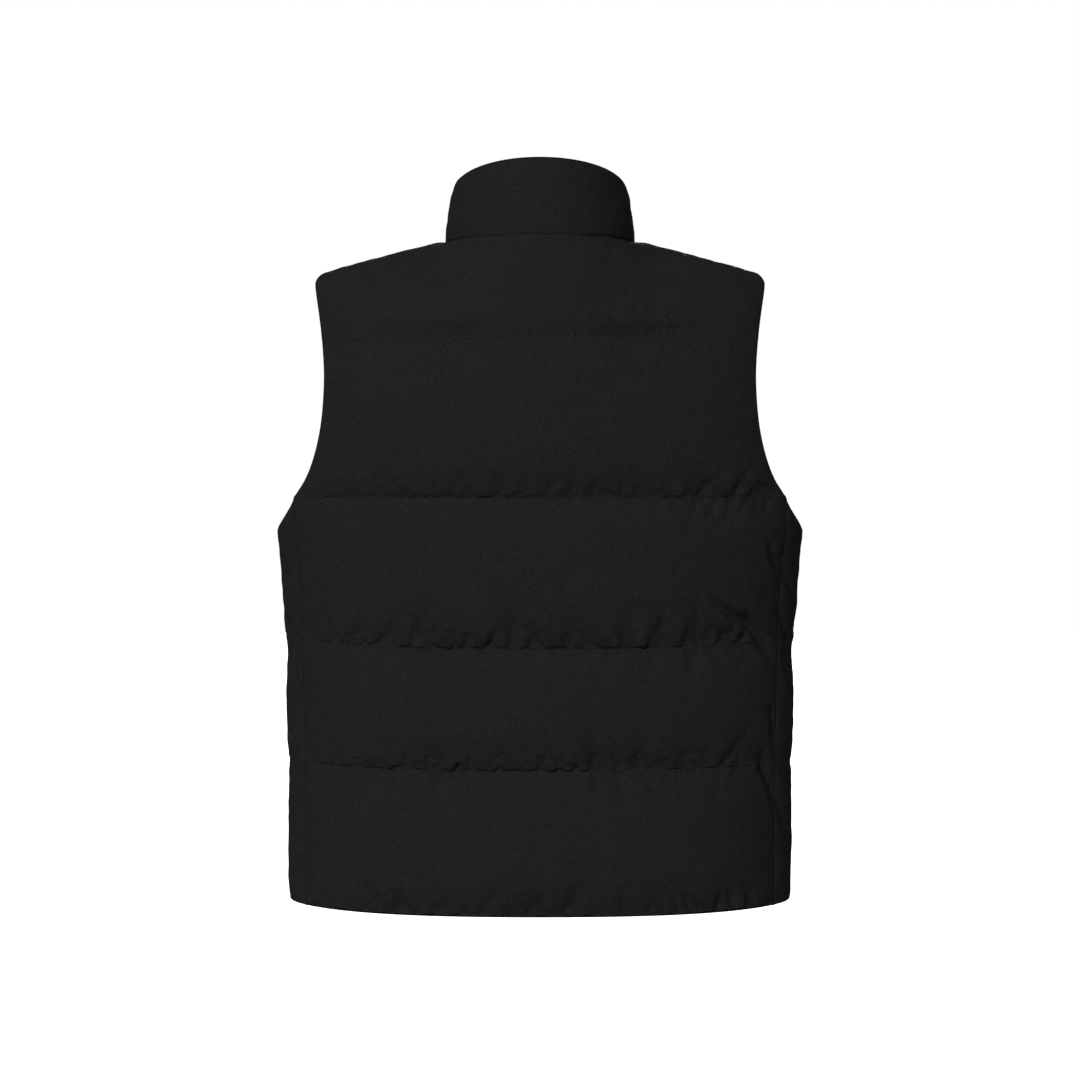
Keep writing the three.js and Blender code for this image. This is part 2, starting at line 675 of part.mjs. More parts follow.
function makeSlider() {
  const bottom = pivotZ - sliderHalfLength;
  const top = pivotZ + sliderHalfLength;
  const outline = roundedOutline(sliderBottomHalf, sliderTopHalf, bottom, top, 1.4);
  const tapeFront = slideY - tapeThickness / 2 - seamGap;
  const tapeBack = slideY + tapeThickness / 2 + seamGap;
  const join = 0.2;
  let body = plate(outline, frontPlateY - plateThickness, frontPlateY);
  body = body.add(plate(outline, backPlateY, backPlateY + plateThickness));
  const postBottom = chainTop - originHeight + seamGap;
  const post = roundedOutline(1.2, 1.8, postBottom, top - 1.2, 0.5);
  body = body.add(plate(post, frontPlateY - join, backPlateY + join));
  for (const side of [-1, 1]) {
    const outer = side * sliderBottomHalf;
    const inner = outer - side * flangeWidth;
    const flange = new THREE.Shape();
    flange.moveTo(inner, bottom + 1.2);
    flange.lineTo(outer, bottom + 1.2);
    flange.lineTo(outer, top - 3);
    flange.lineTo(inner, top - 3);
    flange.closePath();
    body = body.add(plate(flange, frontPlateY - join, tapeFront));
    body = body.add(plate(flange, tapeBack, backPlateY + join));
  }
  const bridge = new THREE.Shape();
  const foot = pivotLift + join;
  bridge.moveTo(-foot, bridgeOuter);
  bridge.lineTo(-foot, bridgeInner);
  bridge.lineTo(0, bridgeInner);
  bridge.absarc(0, 0, bridgeInner, Math.PI / 2, -Math.PI / 2, true);
  bridge.lineTo(-foot, -bridgeInner);
  bridge.lineTo(-foot, -bridgeOuter);
  bridge.lineTo(0, -bridgeOuter);
  bridge.absarc(0, 0, bridgeOuter, -Math.PI / 2, Math.PI / 2, false);
  bridge.closePath();
  const settings = { depth: bridgeWidth, bevelEnabled: false, curveSegments: 12 };
  const arch = new THREE.ExtrudeGeometry(bridge, settings);
  const axes = new THREE.Matrix4().makeBasis(
    new THREE.Vector3(0, -1, 0),
    new THREE.Vector3(0, 0, 1),
    new THREE.Vector3(-1, 0, 0),
  );
  arch.applyMatrix4(axes);
  arch.translate(bridgeWidth / 2, pivotY, pivotZ);
  return namedMesh("zip_slider", geometryOf(body.add(solidOf(arch))), metal);
}

const pullLength = 32;
const pullThickness = 1.6;
const eyeBar = 0.8;
const eyeLength = 4.2;
const eyeHalfWidth = 1.7;
const pullBodyTop = 6.4;

function makePull() {
  const eye = roundedOutline(2.9, 2.9, pivotZ - pullBodyTop, pivotZ + eyeBar, 0.6);
  const opening = roundedOutline(eyeHalfWidth, eyeHalfWidth, pivotZ - eyeLength, pivotZ - eyeBar, 0.4);
  const grip = roundedOutline(3.4, 2.6, pivotZ - pullLength, pivotZ - pullBodyTop + 1, 1.6);
  const slot = roundedOutline(1.5, 1.2, pivotZ - pullLength + 3, pivotZ - pullBodyTop - 4, 0.8);
  const yFrom = pivotY - pullThickness / 2;
  const yTo = pivotY + pullThickness / 2;
  let body = plate(eye, yFrom, yTo).subtract(plate(opening, yFrom - 1, yTo + 1));
  body = body.add(plate(grip, yFrom, yTo));
  body = body.subtract(plate(slot, yFrom - 1, yFrom + 0.4));
  return namedMesh("zip_pull", geometryOf(body), metal);
}

function makeZipBox() {
  const bottom = hemHeight + 1 - originHeight;
  const y = zipCentre(hemHeight + 1 + zipBoxHeight / 2);
  const outline = roundedOutline(chainHalfWidth, chainHalfWidth, bottom, bottom + zipBoxHeight, 0.8);
  return namedMesh("zip_box", geometryOf(plate(outline, y - 2, y + 2)), plastic);
}

const vest = new THREE.Group();
vest.add(makeBack());
vest.add(makeFront("front_left", 1));
vest.add(makeFront("front_right", -1));
vest.add(makeCollar());
vest.add(makeTape("zip_tape_left", 1));
vest.add(makeTape("zip_tape_right", -1));
vest.add(makeChain());
vest.add(makeZipBox());
vest.add(makeSlider());
vest.add(makePull());

export default vest;
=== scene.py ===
import math

import bmesh
import bpy
import numpy as np
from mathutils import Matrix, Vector


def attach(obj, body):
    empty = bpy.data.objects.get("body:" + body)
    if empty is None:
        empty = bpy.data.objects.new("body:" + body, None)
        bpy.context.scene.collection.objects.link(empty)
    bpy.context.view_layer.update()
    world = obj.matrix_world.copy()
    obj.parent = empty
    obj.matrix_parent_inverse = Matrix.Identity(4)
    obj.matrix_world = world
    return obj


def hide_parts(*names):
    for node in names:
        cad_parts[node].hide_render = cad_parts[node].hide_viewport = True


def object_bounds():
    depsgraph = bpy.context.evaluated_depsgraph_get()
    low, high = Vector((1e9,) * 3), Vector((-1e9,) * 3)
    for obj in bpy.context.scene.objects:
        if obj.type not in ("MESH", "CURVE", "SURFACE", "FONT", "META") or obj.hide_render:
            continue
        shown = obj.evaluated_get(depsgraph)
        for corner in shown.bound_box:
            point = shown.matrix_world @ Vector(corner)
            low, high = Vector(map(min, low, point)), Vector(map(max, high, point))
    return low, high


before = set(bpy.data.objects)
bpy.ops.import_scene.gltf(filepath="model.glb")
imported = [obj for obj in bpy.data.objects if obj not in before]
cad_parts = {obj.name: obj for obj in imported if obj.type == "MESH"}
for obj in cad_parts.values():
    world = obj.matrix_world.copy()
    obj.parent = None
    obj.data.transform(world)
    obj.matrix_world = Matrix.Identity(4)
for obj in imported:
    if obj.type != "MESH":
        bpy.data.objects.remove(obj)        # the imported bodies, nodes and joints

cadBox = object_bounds()
print("frame loaded:", len(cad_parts), "nodes")

# The vest hangs filled out. The front faces -Y, +X is the wearer's left, lengths are in metres.
# Heights are above the hem at the centre of the back until a point is placed in the frame.

body = {
    "originHeight": 0.640,
    "roundness": 2.15,           # of a section, where 2 is an ellipse
    "sideSeamAngle": 113,        # angles run round a section from the centre front
    "armholeFrontAngle": 67,
    "risePower": 4,              # how near the side a channel line starts to rise
    "underarmDip": 0.033,
    "dipPower": 0.7,             # below 1, the underarm curve is flat along its bottom
    "shoulderHalfWidth": 0.221,
    "shoulderTipHeight": 0.621,
    "shoulderRoll": 2.4,
    "edgeThickness": 0.005,
    "leastThickness": 0.0025,
    "shoulderRound": 0.008,      # of the shoulder's corner at the armhole
    "loftMiddle": 0.0100,
    "loftSide": 0.0020,
    "swellAbove": 0.010,         # the padding has sunk: steep above a line of stitching
    "swellBelow": 0.032,         # and gentle below the next one
    "swellAcross": 0.012,
}

neck = {
    "halfWidth": 0.0895,
    "halfDepth": 0.0835,
    "centreY": -0.0085,
    "sideHeight": 0.652,
    "backRise": 0.003,
    "frontDrop": 0.060,
    "dropPower": 1.2,            # above 1, the neckline is level at the zip
    "leastTurn": 0.8,            # how far the middle of a panel turns over, of a shoulder's turn
    "turnPower": 1.5,
    "clearance": 0.018,
    "spreadWidth": 0.075,
    "seamBlend": 0.010,
    "tilt": {"back": 17, "front": 6},    # of the neck seam's slant at the centre, in degrees
    "sideTilt": 48,              # and at the neck points
}

# What a section measures at a height, on the plain inside of the wall.
sections = {
    "height": [0, 0.100, 0.200, 0.280, 0.340, 0.370, 0.401, 0.500, 0.660],
    "halfWidth": [0.2445, 0.2445, 0.2465, 0.2485, 0.253, 0.257, 0.257, 0.257, 0.257],
    "back": [0.105, 0.103, 0.103, 0.104, 0.105, 0.105, 0.105, 0.105, 0.103],
    "front": [0.105, 0.104, 0.105, 0.107, 0.109, 0.110, 0.110, 0.109, 0.106],
}

# How far from the centre plane each panel's armhole edge runs.
armholeEdges = {
    "height": [0.4032, 0.420, 0.440, 0.465, 0.490, 0.520, 0.550, 0.580, 0.600, 0.621],
    "back": [0.238, 0.227, 0.219, 0.213, 0.210, 0.209, 0.211, 0.2145, 0.2175, 0.221],
    "front": [0.238, 0.225, 0.214, 0.206, 0.202, 0.201, 0.203, 0.208, 0.213, 0.221],
}

# The lines that bound the channels, from the hem up, how far each rises towards the side, and the
# share of the padding that it doesn't pull in. The last one is the neck and shoulder seam.
channelLines = {
    "height": [-0.0015, 0.140, 0.257, 0.401, 0.553],
    "sideRise": [0.004, 0.005, 0.010, 0.003, -0.002],
    "kept": [0, 0, 0, 0, 0.5, 0],
}
topChannel = 4
topRow = topChannel + 1
underarmLine = 3

# The largest folds, each a trough between two low ridges. The columns are the x and the height of its
# middle, its tilt from level in degrees, and its length, width and depth.
folds = {
    "back": [
        (-0.21, 0.268, 63, 0.03, 0.007, 0.0075),
        (-0.188, 0.285, 34, 0.028, 0.0065, 0.007),
        (-0.227, 0.335, 72, 0.026, 0.0065, 0.006),
        (-0.227, 0.18, 86, 0.018, 0.006, 0.006),
        (-0.222, 0.12, 75, 0.034, 0.0065, 0.007),
        (-0.15, 0.412, 50, 0.022, 0.012, 0.0035),
        (-0.205, 0.415, 42, 0.024, 0.012, 0.0035),
        (-0.085, 0.268, 62, 0.02, 0.011, 0.003),
        (0.02, 0.268, 60, 0.02, 0.011, 0.003),
        (0.1, 0.266, 60, 0.02, 0.011, 0.003),
        (-0.052, 0.15, 58, 0.02, 0.012, 0.0035),
        (0.095, 0.128, -58, 0.02, 0.012, 0.003),
        (0.232, 0.284, 70, 0.04, 0.01, 0.0025),
    ],
    "front": [
        (0.228, 0.286, -68, 0.052, 0.011, 0.0035),
        (0.178, 0.412, -48, 0.024, 0.012, 0.0035),
        (0.062, 0.268, 62, 0.022, 0.011, 0.003),
        (0.13, 0.128, -58, 0.022, 0.012, 0.003),
        (-0.226, 0.282, 66, 0.056, 0.011, 0.0035),
        (-0.172, 0.414, 50, 0.024, 0.012, 0.0035),
        (-0.084, 0.27, -60, 0.022, 0.011, 0.003),
        (-0.12, 0.152, 60, 0.022, 0.012, 0.003),
    ],
}

foldRidge = 1.2      # how much of a fold's depth rises again beside it


def mix(first, second, share):
    return first + (second - first) * share


def swell(distance, length):
    return 1 - np.exp(-np.maximum(distance, 0) / length)


def signedPower(value, power):
    return np.sign(value) * np.abs(value) ** power


def lengths(vectors):
    return np.linalg.norm(vectors, axis=-1)


def unit(vectors):
    return vectors / np.maximum(lengths(vectors), 1e-12)[..., None]


# How far each point of a path is along it.
def travelled(path):
    return np.concatenate([[0], np.cumsum(lengths(np.diff(path, axis=0)))])


# Reads one column of a table at a height, along a smooth curve through its rows.
def readTable(table, column, height):
    places, values = np.array(table["height"]), np.array(table[column])
    slopes = np.gradient(values)
    slopes[1:-1] = (values[2:] - values[:-2]) / (places[2:] - places[:-2])
    slopes[0] = (values[1] - values[0]) / (places[1] - places[0])
    slopes[-1] = (values[-1] - values[-2]) / (places[-1] - places[-2])
    at = np.clip(height, places[0], places[-1])
    low = np.clip(np.searchsorted(places, at, side="right") - 1, 0, len(places) - 2)
    span = places[low + 1] - places[low]
    t = (at - places[low]) / span
    smooth = (2 * t**3 - 3 * t**2 + 1) * values[low] + (3 * t**2 - 2 * t**3) * values[low + 1]
    return smooth + ((t**3 - 2 * t**2 + t) * slopes[low] + (t**3 - t**2) * slopes[low + 1]) * span


def ringShare(angle):
    return signedPower(np.sin(np.radians(angle)), 2 / body["roundness"])


def ringAngle(share):
    return np.degrees(np.arcsin(np.minimum(share ** (body["roundness"] / 2), 1)))


def edgeAngle(face):
    return body["sideSeamAngle"] if face == "back" else body["armholeFrontAngle"]


def ringDepth(face, x, height):
    share = np.minimum(np.abs(x) / readTable(sections, "halfWidth", height), 1)
    depth = (1 - share ** body["roundness"]) ** (1 / body["roundness"])
    return depth * readTable(sections, face, height) * (1 if face == "back" else -1)


# The upper edge of a panel: the neck seam as far as the neck point, then the shoulder seam.
def upperEdge(face, x):
    x = np.abs(x)
    along = np.sqrt(1 - np.minimum(x / neck["halfWidth"], 1) ** 2)
    slope = neck["sideHeight"] - body["shoulderTipHeight"]
    slope = slope / (body["shoulderHalfWidth"] - neck["halfWidth"])
    fall = slope * np.maximum(x - neck["halfWidth"], 0)
    corner = body["shoulderRound"]
    past = np.clip(x - body["shoulderHalfWidth"] + corner, 0, 0.97 * corner)
    fall = fall + corner - np.sqrt(corner**2 - past**2)
    if face == "back":
        y = neck["centreY"] + neck["halfDepth"] * along
        return y, neck["sideHeight"] + neck["backRise"] * along - fall
    y = neck["centreY"] - neck["halfDepth"] * along
    return y, neck["sideHeight"] - neck["frontDrop"] * along ** neck["dropPower"] - fall


# The height of a channel line round the ring. The third one dips under the arm, where it is an edge.
def lineHeight(line, angle):
    side = np.abs(ringShare(angle)) ** body["risePower"]
    height = np.take(channelLines["height"], line) + np.take(channelLines["sideRise"], line) * side
    start = body["armholeFrontAngle"]
    underarm = np.clip((angle - start) / (body["sideSeamAngle"] - start), 0, 1)
    dip = body["underarmDip"] * np.abs(np.sin(np.pi * underarm)) ** body["dipPower"]
    return height - np.where(np.equal(line, underarmLine), dip, 0)


# The x of a share of a panel's half width. A front starts at the zip, the back at its centre.
def acrossPanel(face, share, halfWidth):
    if face == "back":
        return share * halfWidth
    zipShare = zipForm["edge"] / body["shoulderHalfWidth"]
    return zipForm["edge"] + (halfWidth - zipForm["edge"]) * (share - zipShare) / (1 - zipShare)


# How far a panel has leant from its section to its upper edge.
def rollShare(rise, topX):
    outwards = np.minimum((np.abs(topX) / neck["halfWidth"]) ** neck["turnPower"], 1)
    turn = mix(neck["leastTurn"], 1, outwards)
    power = body["shoulderRoll"]

    def lean(share):
        return 1 - (1 - np.clip(share, 0, 1) ** power) ** (1 / power)

    return lean(rise * turn) / lean(turn)


def neckNormal(face, x):
    across = np.clip(x / neck["halfWidth"], -1, 1)
    return across, np.sqrt(1 - across**2) * (1 if face == "back" else -1)


# A point of the plain inside of the wall, on the wearer's left. A row is the number of a channel
# line and a share of the way to the next one.
def insidePoint(face, row, angle):
    row, angle = np.broadcast_arrays(np.asarray(row, float), np.asarray(angle, float))
    channel = np.clip(np.floor(row), 0, topChannel).astype(int)
    rise = row - channel
    side = edgeAngle(face)
    share, sideShare = ringShare(angle), ringShare(side)

    line = np.minimum(channel, underarmLine)
    height = mix(lineHeight(line, angle), lineHeight(np.minimum(line + 1, underarmLine), angle), rise)
    halfWidth = readTable(sections, "halfWidth", height)
    x = acrossPanel(face, share / sideShare, halfWidth * sideShare)
    y = ringDepth(face, x, height)
    if face == "front":
        front, back = (readTable(sections, each, height) for each in ("front", "back"))
        depth = np.where(angle < 90, front, back)
        x = np.where(angle > side, halfWidth * share, x)
        forward = signedPower(np.cos(np.radians(angle)), 2 / body["roundness"])
        y = np.where(angle > side, -depth * forward, y)
    lower = np.stack([x, y, height], -1)

    topX = acrossPanel(face, share / sideShare, body["shoulderHalfWidth"])
    topY, topHeight = upperEdge(face, topX)
    inTop = channel == topChannel
    eased = np.where(inTop, np.sin(rise * np.pi / 2), rise)

    def climb(start, middle, end):
        return np.where(inTop, mix(middle, end, eased), mix(start, middle, eased))

    start = lineHeight(underarmLine, angle)
    height = climb(start, lineHeight(topChannel, angle), topHeight)
    edgeStart, edgeMiddle = lineHeight(underarmLine, side), lineHeight(topChannel, side)
    edgeHeight = climb(edgeStart, edgeMiddle, body["shoulderTipHeight"])
    x = acrossPanel(face, share / sideShare, readTable(armholeEdges, face, edgeHeight))
    y = mix(ringDepth(face, x, height), topY, rollShare((height - start) / (topHeight - start), topX))
    past = np.clip((topX - neck["halfWidth"]) / neck["spreadWidth"], 0, 1)
    past = past * past * (3 - 2 * past)
    clear = (1 - past) * neck["clearance"] * swell(np.abs(y - topY), neck["clearance"])
    spread = np.where(inTop, rise * clear, 0)
    outX, outY = neckNormal(face, topX)
    straight = 1 if face == "back" else -1
    upper = np.stack([x + spread * outX, y + spread * (outY - straight), height], -1)
    return np.where((row <= underarmLine)[..., None], lower, upper)


# At the neck seam the body and the collar end on one shared slant.
def neckMitre(face, x):
    planX, planY = neckNormal(face, x)
    tilt = np.radians(mix(neck["tilt"][face], neck["sideTilt"], planX**2))
    return np.stack([planX * np.cos(tilt), planY * np.cos(tilt), np.sin(tilt)], -1)


# How far the two points are apart that give a wall's direction, in rows and in degrees, and how near
# the armhole's corner they are kept below the underarm edge.
probe = {"rows": 0.01, "degrees": 0.1, "cornerDegrees": 1.2}


# The direction in which a wall has its thickness.
def outward(face, row, angle):
    row, angle = np.broadcast_arrays(np.asarray(row, float), np.asarray(angle, float))
    topX = acrossPanel(face, ringShare(angle) / ringShare(edgeAngle(face)), body["shoulderHalfWidth"])
    straightUp = np.zeros(topX.shape + (3,)) + [0, 0, 1]
    atTop = np.where((topX > neck["halfWidth"] + 1e-5)[..., None], straightUp, neckMitre(face, topX))
    rows, degrees, hole = probe["rows"], probe["degrees"], body["armholeFrontAngle"]
    # By the armhole, both points stay on the panel.
    besideHole = (face == "front") & (angle <= hole) & (row > underarmLine - 2 * rows)
    underHole = (face == "front") & (angle >= hole - probe["cornerDegrees"]) & (row <= underarmLine)
    highest = np.where(underHole, underarmLine, topRow)
    up = insidePoint(face, np.minimum(row + rows, highest), angle)
    up = up - insidePoint(face, np.maximum(row - rows, 0), angle)
    onward = np.where(besideHole, np.minimum(angle + degrees, hole), angle + degrees)
    back = np.maximum(angle - degrees, edgeAngle(face)) if face == "back" else angle - degrees
    normal = unit(np.cross(insidePoint(face, row, onward) - insidePoint(face, row, back), up))
    toTop = lengths(insidePoint(face, row, angle) - insidePoint(face, topRow, angle))
    blended = unit(mix(normal, atTop, np.exp(-toTop / neck["seamBlend"])[..., None]))
    return np.where((row <= topChannel)[..., None], normal, blended)


def foldDepth(face, x, height):
    depth = 0
    for middleX, middleHeight, degrees, length, width, deepest in folds[face]:
        tilt = math.radians(degrees)
        dx, dz = x - middleX, height - middleHeight
        along = (dx * math.cos(tilt) + dz * math.sin(tilt)) / length
        across = (dz * math.cos(tilt) - dx * math.sin(tilt)) / width
        depth = depth + deepest * (1 - foldRidge * across**2) * np.exp(-(along**2) - across**2)
    return depth


# How far a point of a panel is from the line below, the line above and the panel's nearest side.
def seamDistances(face, row, angle):
    point = insidePoint(face, row, angle)
    channel = np.clip(np.floor(row), 0, topChannel)
    toLower = lengths(point - insidePoint(face, channel, angle))
    toUpper = lengths(point - insidePoint(face, channel + 1, angle))
    toEdge = np.maximum(insidePoint(face, row, edgeAngle(face))[..., 0] - np.abs(point[..., 0]), 0)
    if face == "front":
        toSide = np.radians(body["sideSeamAngle"] - angle) * readTable(sections, "front", point[..., 2])
        toEdge = np.where(row <= underarmLine, toSide, toEdge)
        toEdge = np.minimum(toEdge, point[..., 0] - zipForm["edge"])
    return point, toLower, toUpper, np.maximum(toEdge, 0)


# The thickness of a padded panel: thin where it is sewn, swollen between.
def panelThickness(face, row, angle, side):
    point, toLower, toUpper, toEdge = seamDistances(face, row, angle)
    share = np.minimum(np.abs(point[..., 0]) / readTable(sections, "halfWidth", point[..., 2]), 1)
    loft = mix(body["loftMiddle"], body["loftSide"], share**3)
    channel = np.clip(np.floor(row), 0, topChannel).astype(int)
    fromLower = mix(swell(toLower, body["swellAbove"]), 1, np.take(channelLines["kept"], channel))
    fromUpper = mix(swell(toUpper, body["swellBelow"]), 1, np.take(channelLines["kept"], channel + 1))
    padding = loft * fromLower * fromUpper
    fold = foldDepth(face, side * point[..., 0], point[..., 2])
    thickness = body["edgeThickness"] + (padding - fold) * swell(toEdge, body["swellAcross"])
    return np.maximum(thickness, body["leastThickness"])


collar = {
    "topHalfWidth": 0.081,
    "topHalfDepth": 0.077,
    "topCentreY": -0.015,
    "topSideHeight": 0.712,
    "topBackRise": 0.021,
    "topFrontDrop": 0.047,
    "loft": 0.003,
    "length": 0.072,
    "seamBlend": 0.004,
    "probe": 0.01,               # degrees between the points that give its direction, each way
}


def collarPoint(rise, angle):
    rise, angle = np.broadcast_arrays(np.asarray(rise, float), np.asarray(angle, float))
    across, along = np.sin(np.radians(angle)), -np.cos(np.radians(angle))
    backY, backHeight = upperEdge("back", neck["halfWidth"] * across)
    frontY, frontHeight = upperEdge("front", neck["halfWidth"] * across)
    baseY, baseHeight = np.where(along > 0, backY, frontY), np.where(along > 0, backHeight, frontHeight)
    drop = collar["topFrontDrop"] * np.abs(along) ** neck["dropPower"]
    sloped = np.where(along > 0, collar["topBackRise"] * along, -drop)
    x = mix(neck["halfWidth"], collar["topHalfWidth"], rise) * across
    y = mix(baseY, collar["topCentreY"] + collar["topHalfDepth"] * along, rise)
    return np.stack([x, y, mix(baseHeight, collar["topSideHeight"] + sloped, rise)], -1)


def collarOutward(rise, angle):
    rise, angle = np.broadcast_arrays(np.asarray(rise, float), np.asarray(angle, float))
    up = collarPoint(1, angle) - collarPoint(0, angle)
    beside = collarPoint(rise, angle + collar["probe"]) - collarPoint(rise, angle - collar["probe"])
    normal = unit(np.cross(beside, up))
    x = neck["halfWidth"] * np.sin(np.radians(angle))
    mitre = np.where((angle > 90)[..., None], neckMitre("back", x), neckMitre("front", x))
    return unit(mix(normal, mitre, np.exp(-rise * collar["length"] / collar["seamBlend"])[..., None]))


def collarThickness(rise, angle):
    ends = swell(rise * collar["length"], body["swellAcross"])
    ends = ends * swell((1 - rise) * collar["length"], body["swellAcross"])
    toZip = np.radians(angle) * neck["halfWidth"] - zipForm["edge"]
    return body["edgeThickness"] + collar["loft"] * ends * swell(toZip, body["swellAcross"])


zipForm = {
    "edge": 0.007,               # of each front, from the centre plane
    # The columns of points across a tape. The corded edge ends inside the teeth.
    "tapeColumns": (0.0005, 0.0032, 0.0045, 0.0058, 0.007, 0.009, 0.0115, 0.014),
    "tapeThickness": 0.001,
    "seamGap": 0.0003,
    "chainHalfWidth": 0.0029,
    "measured": 0.020,           # how far out the front's slant behind the zip is measured
    "collarRows": 18,
}


# The inside, outside and direction of a wall at a row and an angle, placed in the frame.
def wallAt(face, row, angle, side):
    if face == "collar":
        inside, out = collarPoint(row, angle), collarOutward(row, angle)
        thickness = collarThickness(row, angle) + np.zeros(inside.shape[:-1])
    else:
        inside, out = insidePoint(face, row, angle), outward(face, row, angle)
        thickness = panelThickness(face, row, angle, side)
    outside = inside + out * thickness[..., None]
    mirror = np.stack([side + 0 * thickness, 1 + 0 * thickness, 1 + 0 * thickness], -1)
    drop = np.array([0, 0, body["originHeight"]])
    return inside * mirror - drop, outside * mirror - drop, out * mirror


# Values from start to stop whose points on a curve are evenly apart, an even number of steps.
def evenSteps(curve, start, stop, spacing, crowding=0.0):
    fine = np.linspace(start, stop, 600)
    run = travelled(curve(fine))
    count = max(2 * round(run[-1] / spacing / 2), 2)
    share = np.linspace(0, 1, count + 1)
    share = share - crowding * np.sin(2 * np.pi * share) / (2 * np.pi)
    return np.interp(share * run[-1], run, fine)


grid = {
    "spacing": 0.0042,           # of the simulated grid; the finished cloth has half of it
    "backMeasure": 150,          # the angles at which the rows are laid out
    "frontMeasure": 40,
    "halvings": 22,
    # The most rows and degrees that an edge stands back.
    "reach": {"back": (0.4, 3), "front": (0.4, 3), "collar": (0.3, 3)},
    "crowding": 0.25,            # how much closer rows stand beside a line of stitching
    "openRound": 0.0018,         # how far an open turned edge reaches past the sheets
    "seamRound": 0.0006,         # how far an edge that is sewn to another one does
    "edgeGap": 0.00015,          # between the tips of open edges and the panel's true edge
    "edgeTurns": (45, 90, 135),  # where the turned edge has its points, in degrees from outside
    "insideStep": 4,             # cells of the outside in one of the inside
}


# The rows of a panel, as line numbers and shares.
def panelRows(face):
    angle = grid["backMeasure"] if face == "back" else grid["frontMeasure"]

    def upwards(row):
        return insidePoint(face, row, angle)

    rows = []
    for channel in range(topRow):
        steps = evenSteps(upwards, channel, channel + 1 - 1e-9, grid["spacing"], grid["crowding"])
        rows += list(steps[:-1])
    return np.array(rows + [topRow])


# The columns of half a panel, from its middle or its zip to its side, as angles.
def panelAngles(face):
    sideShare = ringShare(edgeAngle(face))
    start = 0 if face == "back" else zipForm["edge"] / body["shoulderHalfWidth"]
    neckShare = neck["halfWidth"] / body["shoulderHalfWidth"]

    def angleOf(share):
        angle = ringAngle(share * sideShare)
        return 180 - angle if face == "back" else angle

    def along(angle):
        return insidePoint(face, 1.5, angle)     # in the middle of the second channel

    first = evenSteps(lambda share: along(angleOf(share)), start, neckShare, grid["spacing"])
    second = evenSteps(lambda share: along(angleOf(share)), neckShare, 1, grid["spacing"])
    angles = angleOf(np.concatenate([first[:-1], second]))
    if face == "back":
        return angles
    third = evenSteps(along, edgeAngle(face), body["sideSeamAngle"], grid["spacing"])
    return np.concatenate([angles[:-1], third])


# Grids of rows and angles for one panel, with the cells that it has.
def panelGrid(name, face, side):
    if face == "collar":
        start = math.degrees(math.asin(zipForm["edge"] / neck["halfWidth"]))
        rows = evenSteps(lambda t: collarPoint(t, 180), 0, 1, grid["spacing"], grid["crowding"])
        half = evenSteps(lambda t: collarPoint(0.5, t), start, 180, grid["spacing"])
        angles = np.concatenate([half, half[-2::-1]])
        sides = np.concatenate([np.ones(len(half)), -np.ones(len(half) - 1)])
    elif face == "back":
        rows, half = panelRows(face), panelAngles(face)
        angles = np.concatenate([half[::-1], half[1:]])
        sides = np.concatenate([np.ones(len(half)), -np.ones(len(half) - 1)])
    else:
        rows, angles = panelRows(face), panelAngles(face)
        angles = angles if side > 0 else angles[::-1]
        sides = np.full(len(angles), side)
    return {"name": name, "face": face, "rows": rows, "angles": angles, "sides": sides}


# A grid twice as fine, by the middle of each step.
def halved(values):
    fine = np.empty(2 * len(values) - 1)
    fine[::2] = values
    fine[1::2] = (values[1:] + values[:-1]) / 2
    return fine


# The same for values on a grid, along a smooth curve through four neighbours.
def smoothHalved(values):
    for axis in (0, 1):
        values = np.moveaxis(values, axis, 0)
        padded = np.concatenate([2 * values[:1] - values[1:2], values, 2 * values[-1:] - values[-2:-1]])
        middle = (9 * (padded[1:-2] + padded[2:-1]) - padded[:-3] - padded[3:]) / 16
        fine = np.empty((2 * len(values) - 1,) + values.shape[1:])
        fine[::2], fine[1::2] = values, middle
        values = np.moveaxis(fine, 0, axis)
    return values


def cellsOf(panel):
    rowMiddle = (panel["rows"][1:] + panel["rows"][:-1]) / 2
    angleMiddle = (panel["angles"][1:] + panel["angles"][:-1]) / 2
    cells = np.ones((len(rowMiddle), len(angleMiddle)), bool)
    if panel["face"] == "front":
        cells &= (rowMiddle < underarmLine)[:, None] | (angleMiddle < body["armholeFrontAngle"])[None, :]
    return cells


# Which grid points lie on an edge below, above, at the column before or at the column after.
def edgesOf(cells):
    padded = np.pad(cells, 1)
    lowLeft, lowRight = padded[:-1, :-1], padded[:-1, 1:]
    upLeft, upRight = padded[1:, :-1], padded[1:, 1:]
    used = lowLeft | lowRight | upLeft | upRight
    bottom, top = ~(lowLeft | lowRight), ~(upLeft | upRight)
    first, last = ~(lowLeft | upLeft), ~(lowRight | upRight)
    corner = used & ((lowLeft.astype(int) + lowRight + upLeft + upRight) == 3)
    return {
        "used": used,
        "bottom": used & bottom,
        "top": used & (top | (corner & ~upRight) | (corner & ~upLeft)),
        "first": used & (first | (corner & ~upLeft)),
        "last": used & (last | (corner & ~upRight)),
    }


# How far to move along a row or an angle to go a given distance from an edge.
def stepIn(face, row, angle, rowReach, angleReach, distance):
    place = collarPoint if face == "collar" else lambda r, a: insidePoint(face, r, a)
    start = place(row, angle)
    low, high = np.zeros(start.shape[:-1]), np.ones(start.shape[:-1])
    for _ in range(grid["halvings"]):
        middle = (low + high) / 2
        far = lengths(place(row + rowReach * middle, angle + angleReach * middle) - start) > distance
        low, high = np.where(far, low, middle), np.where(far, middle, high)
    return low


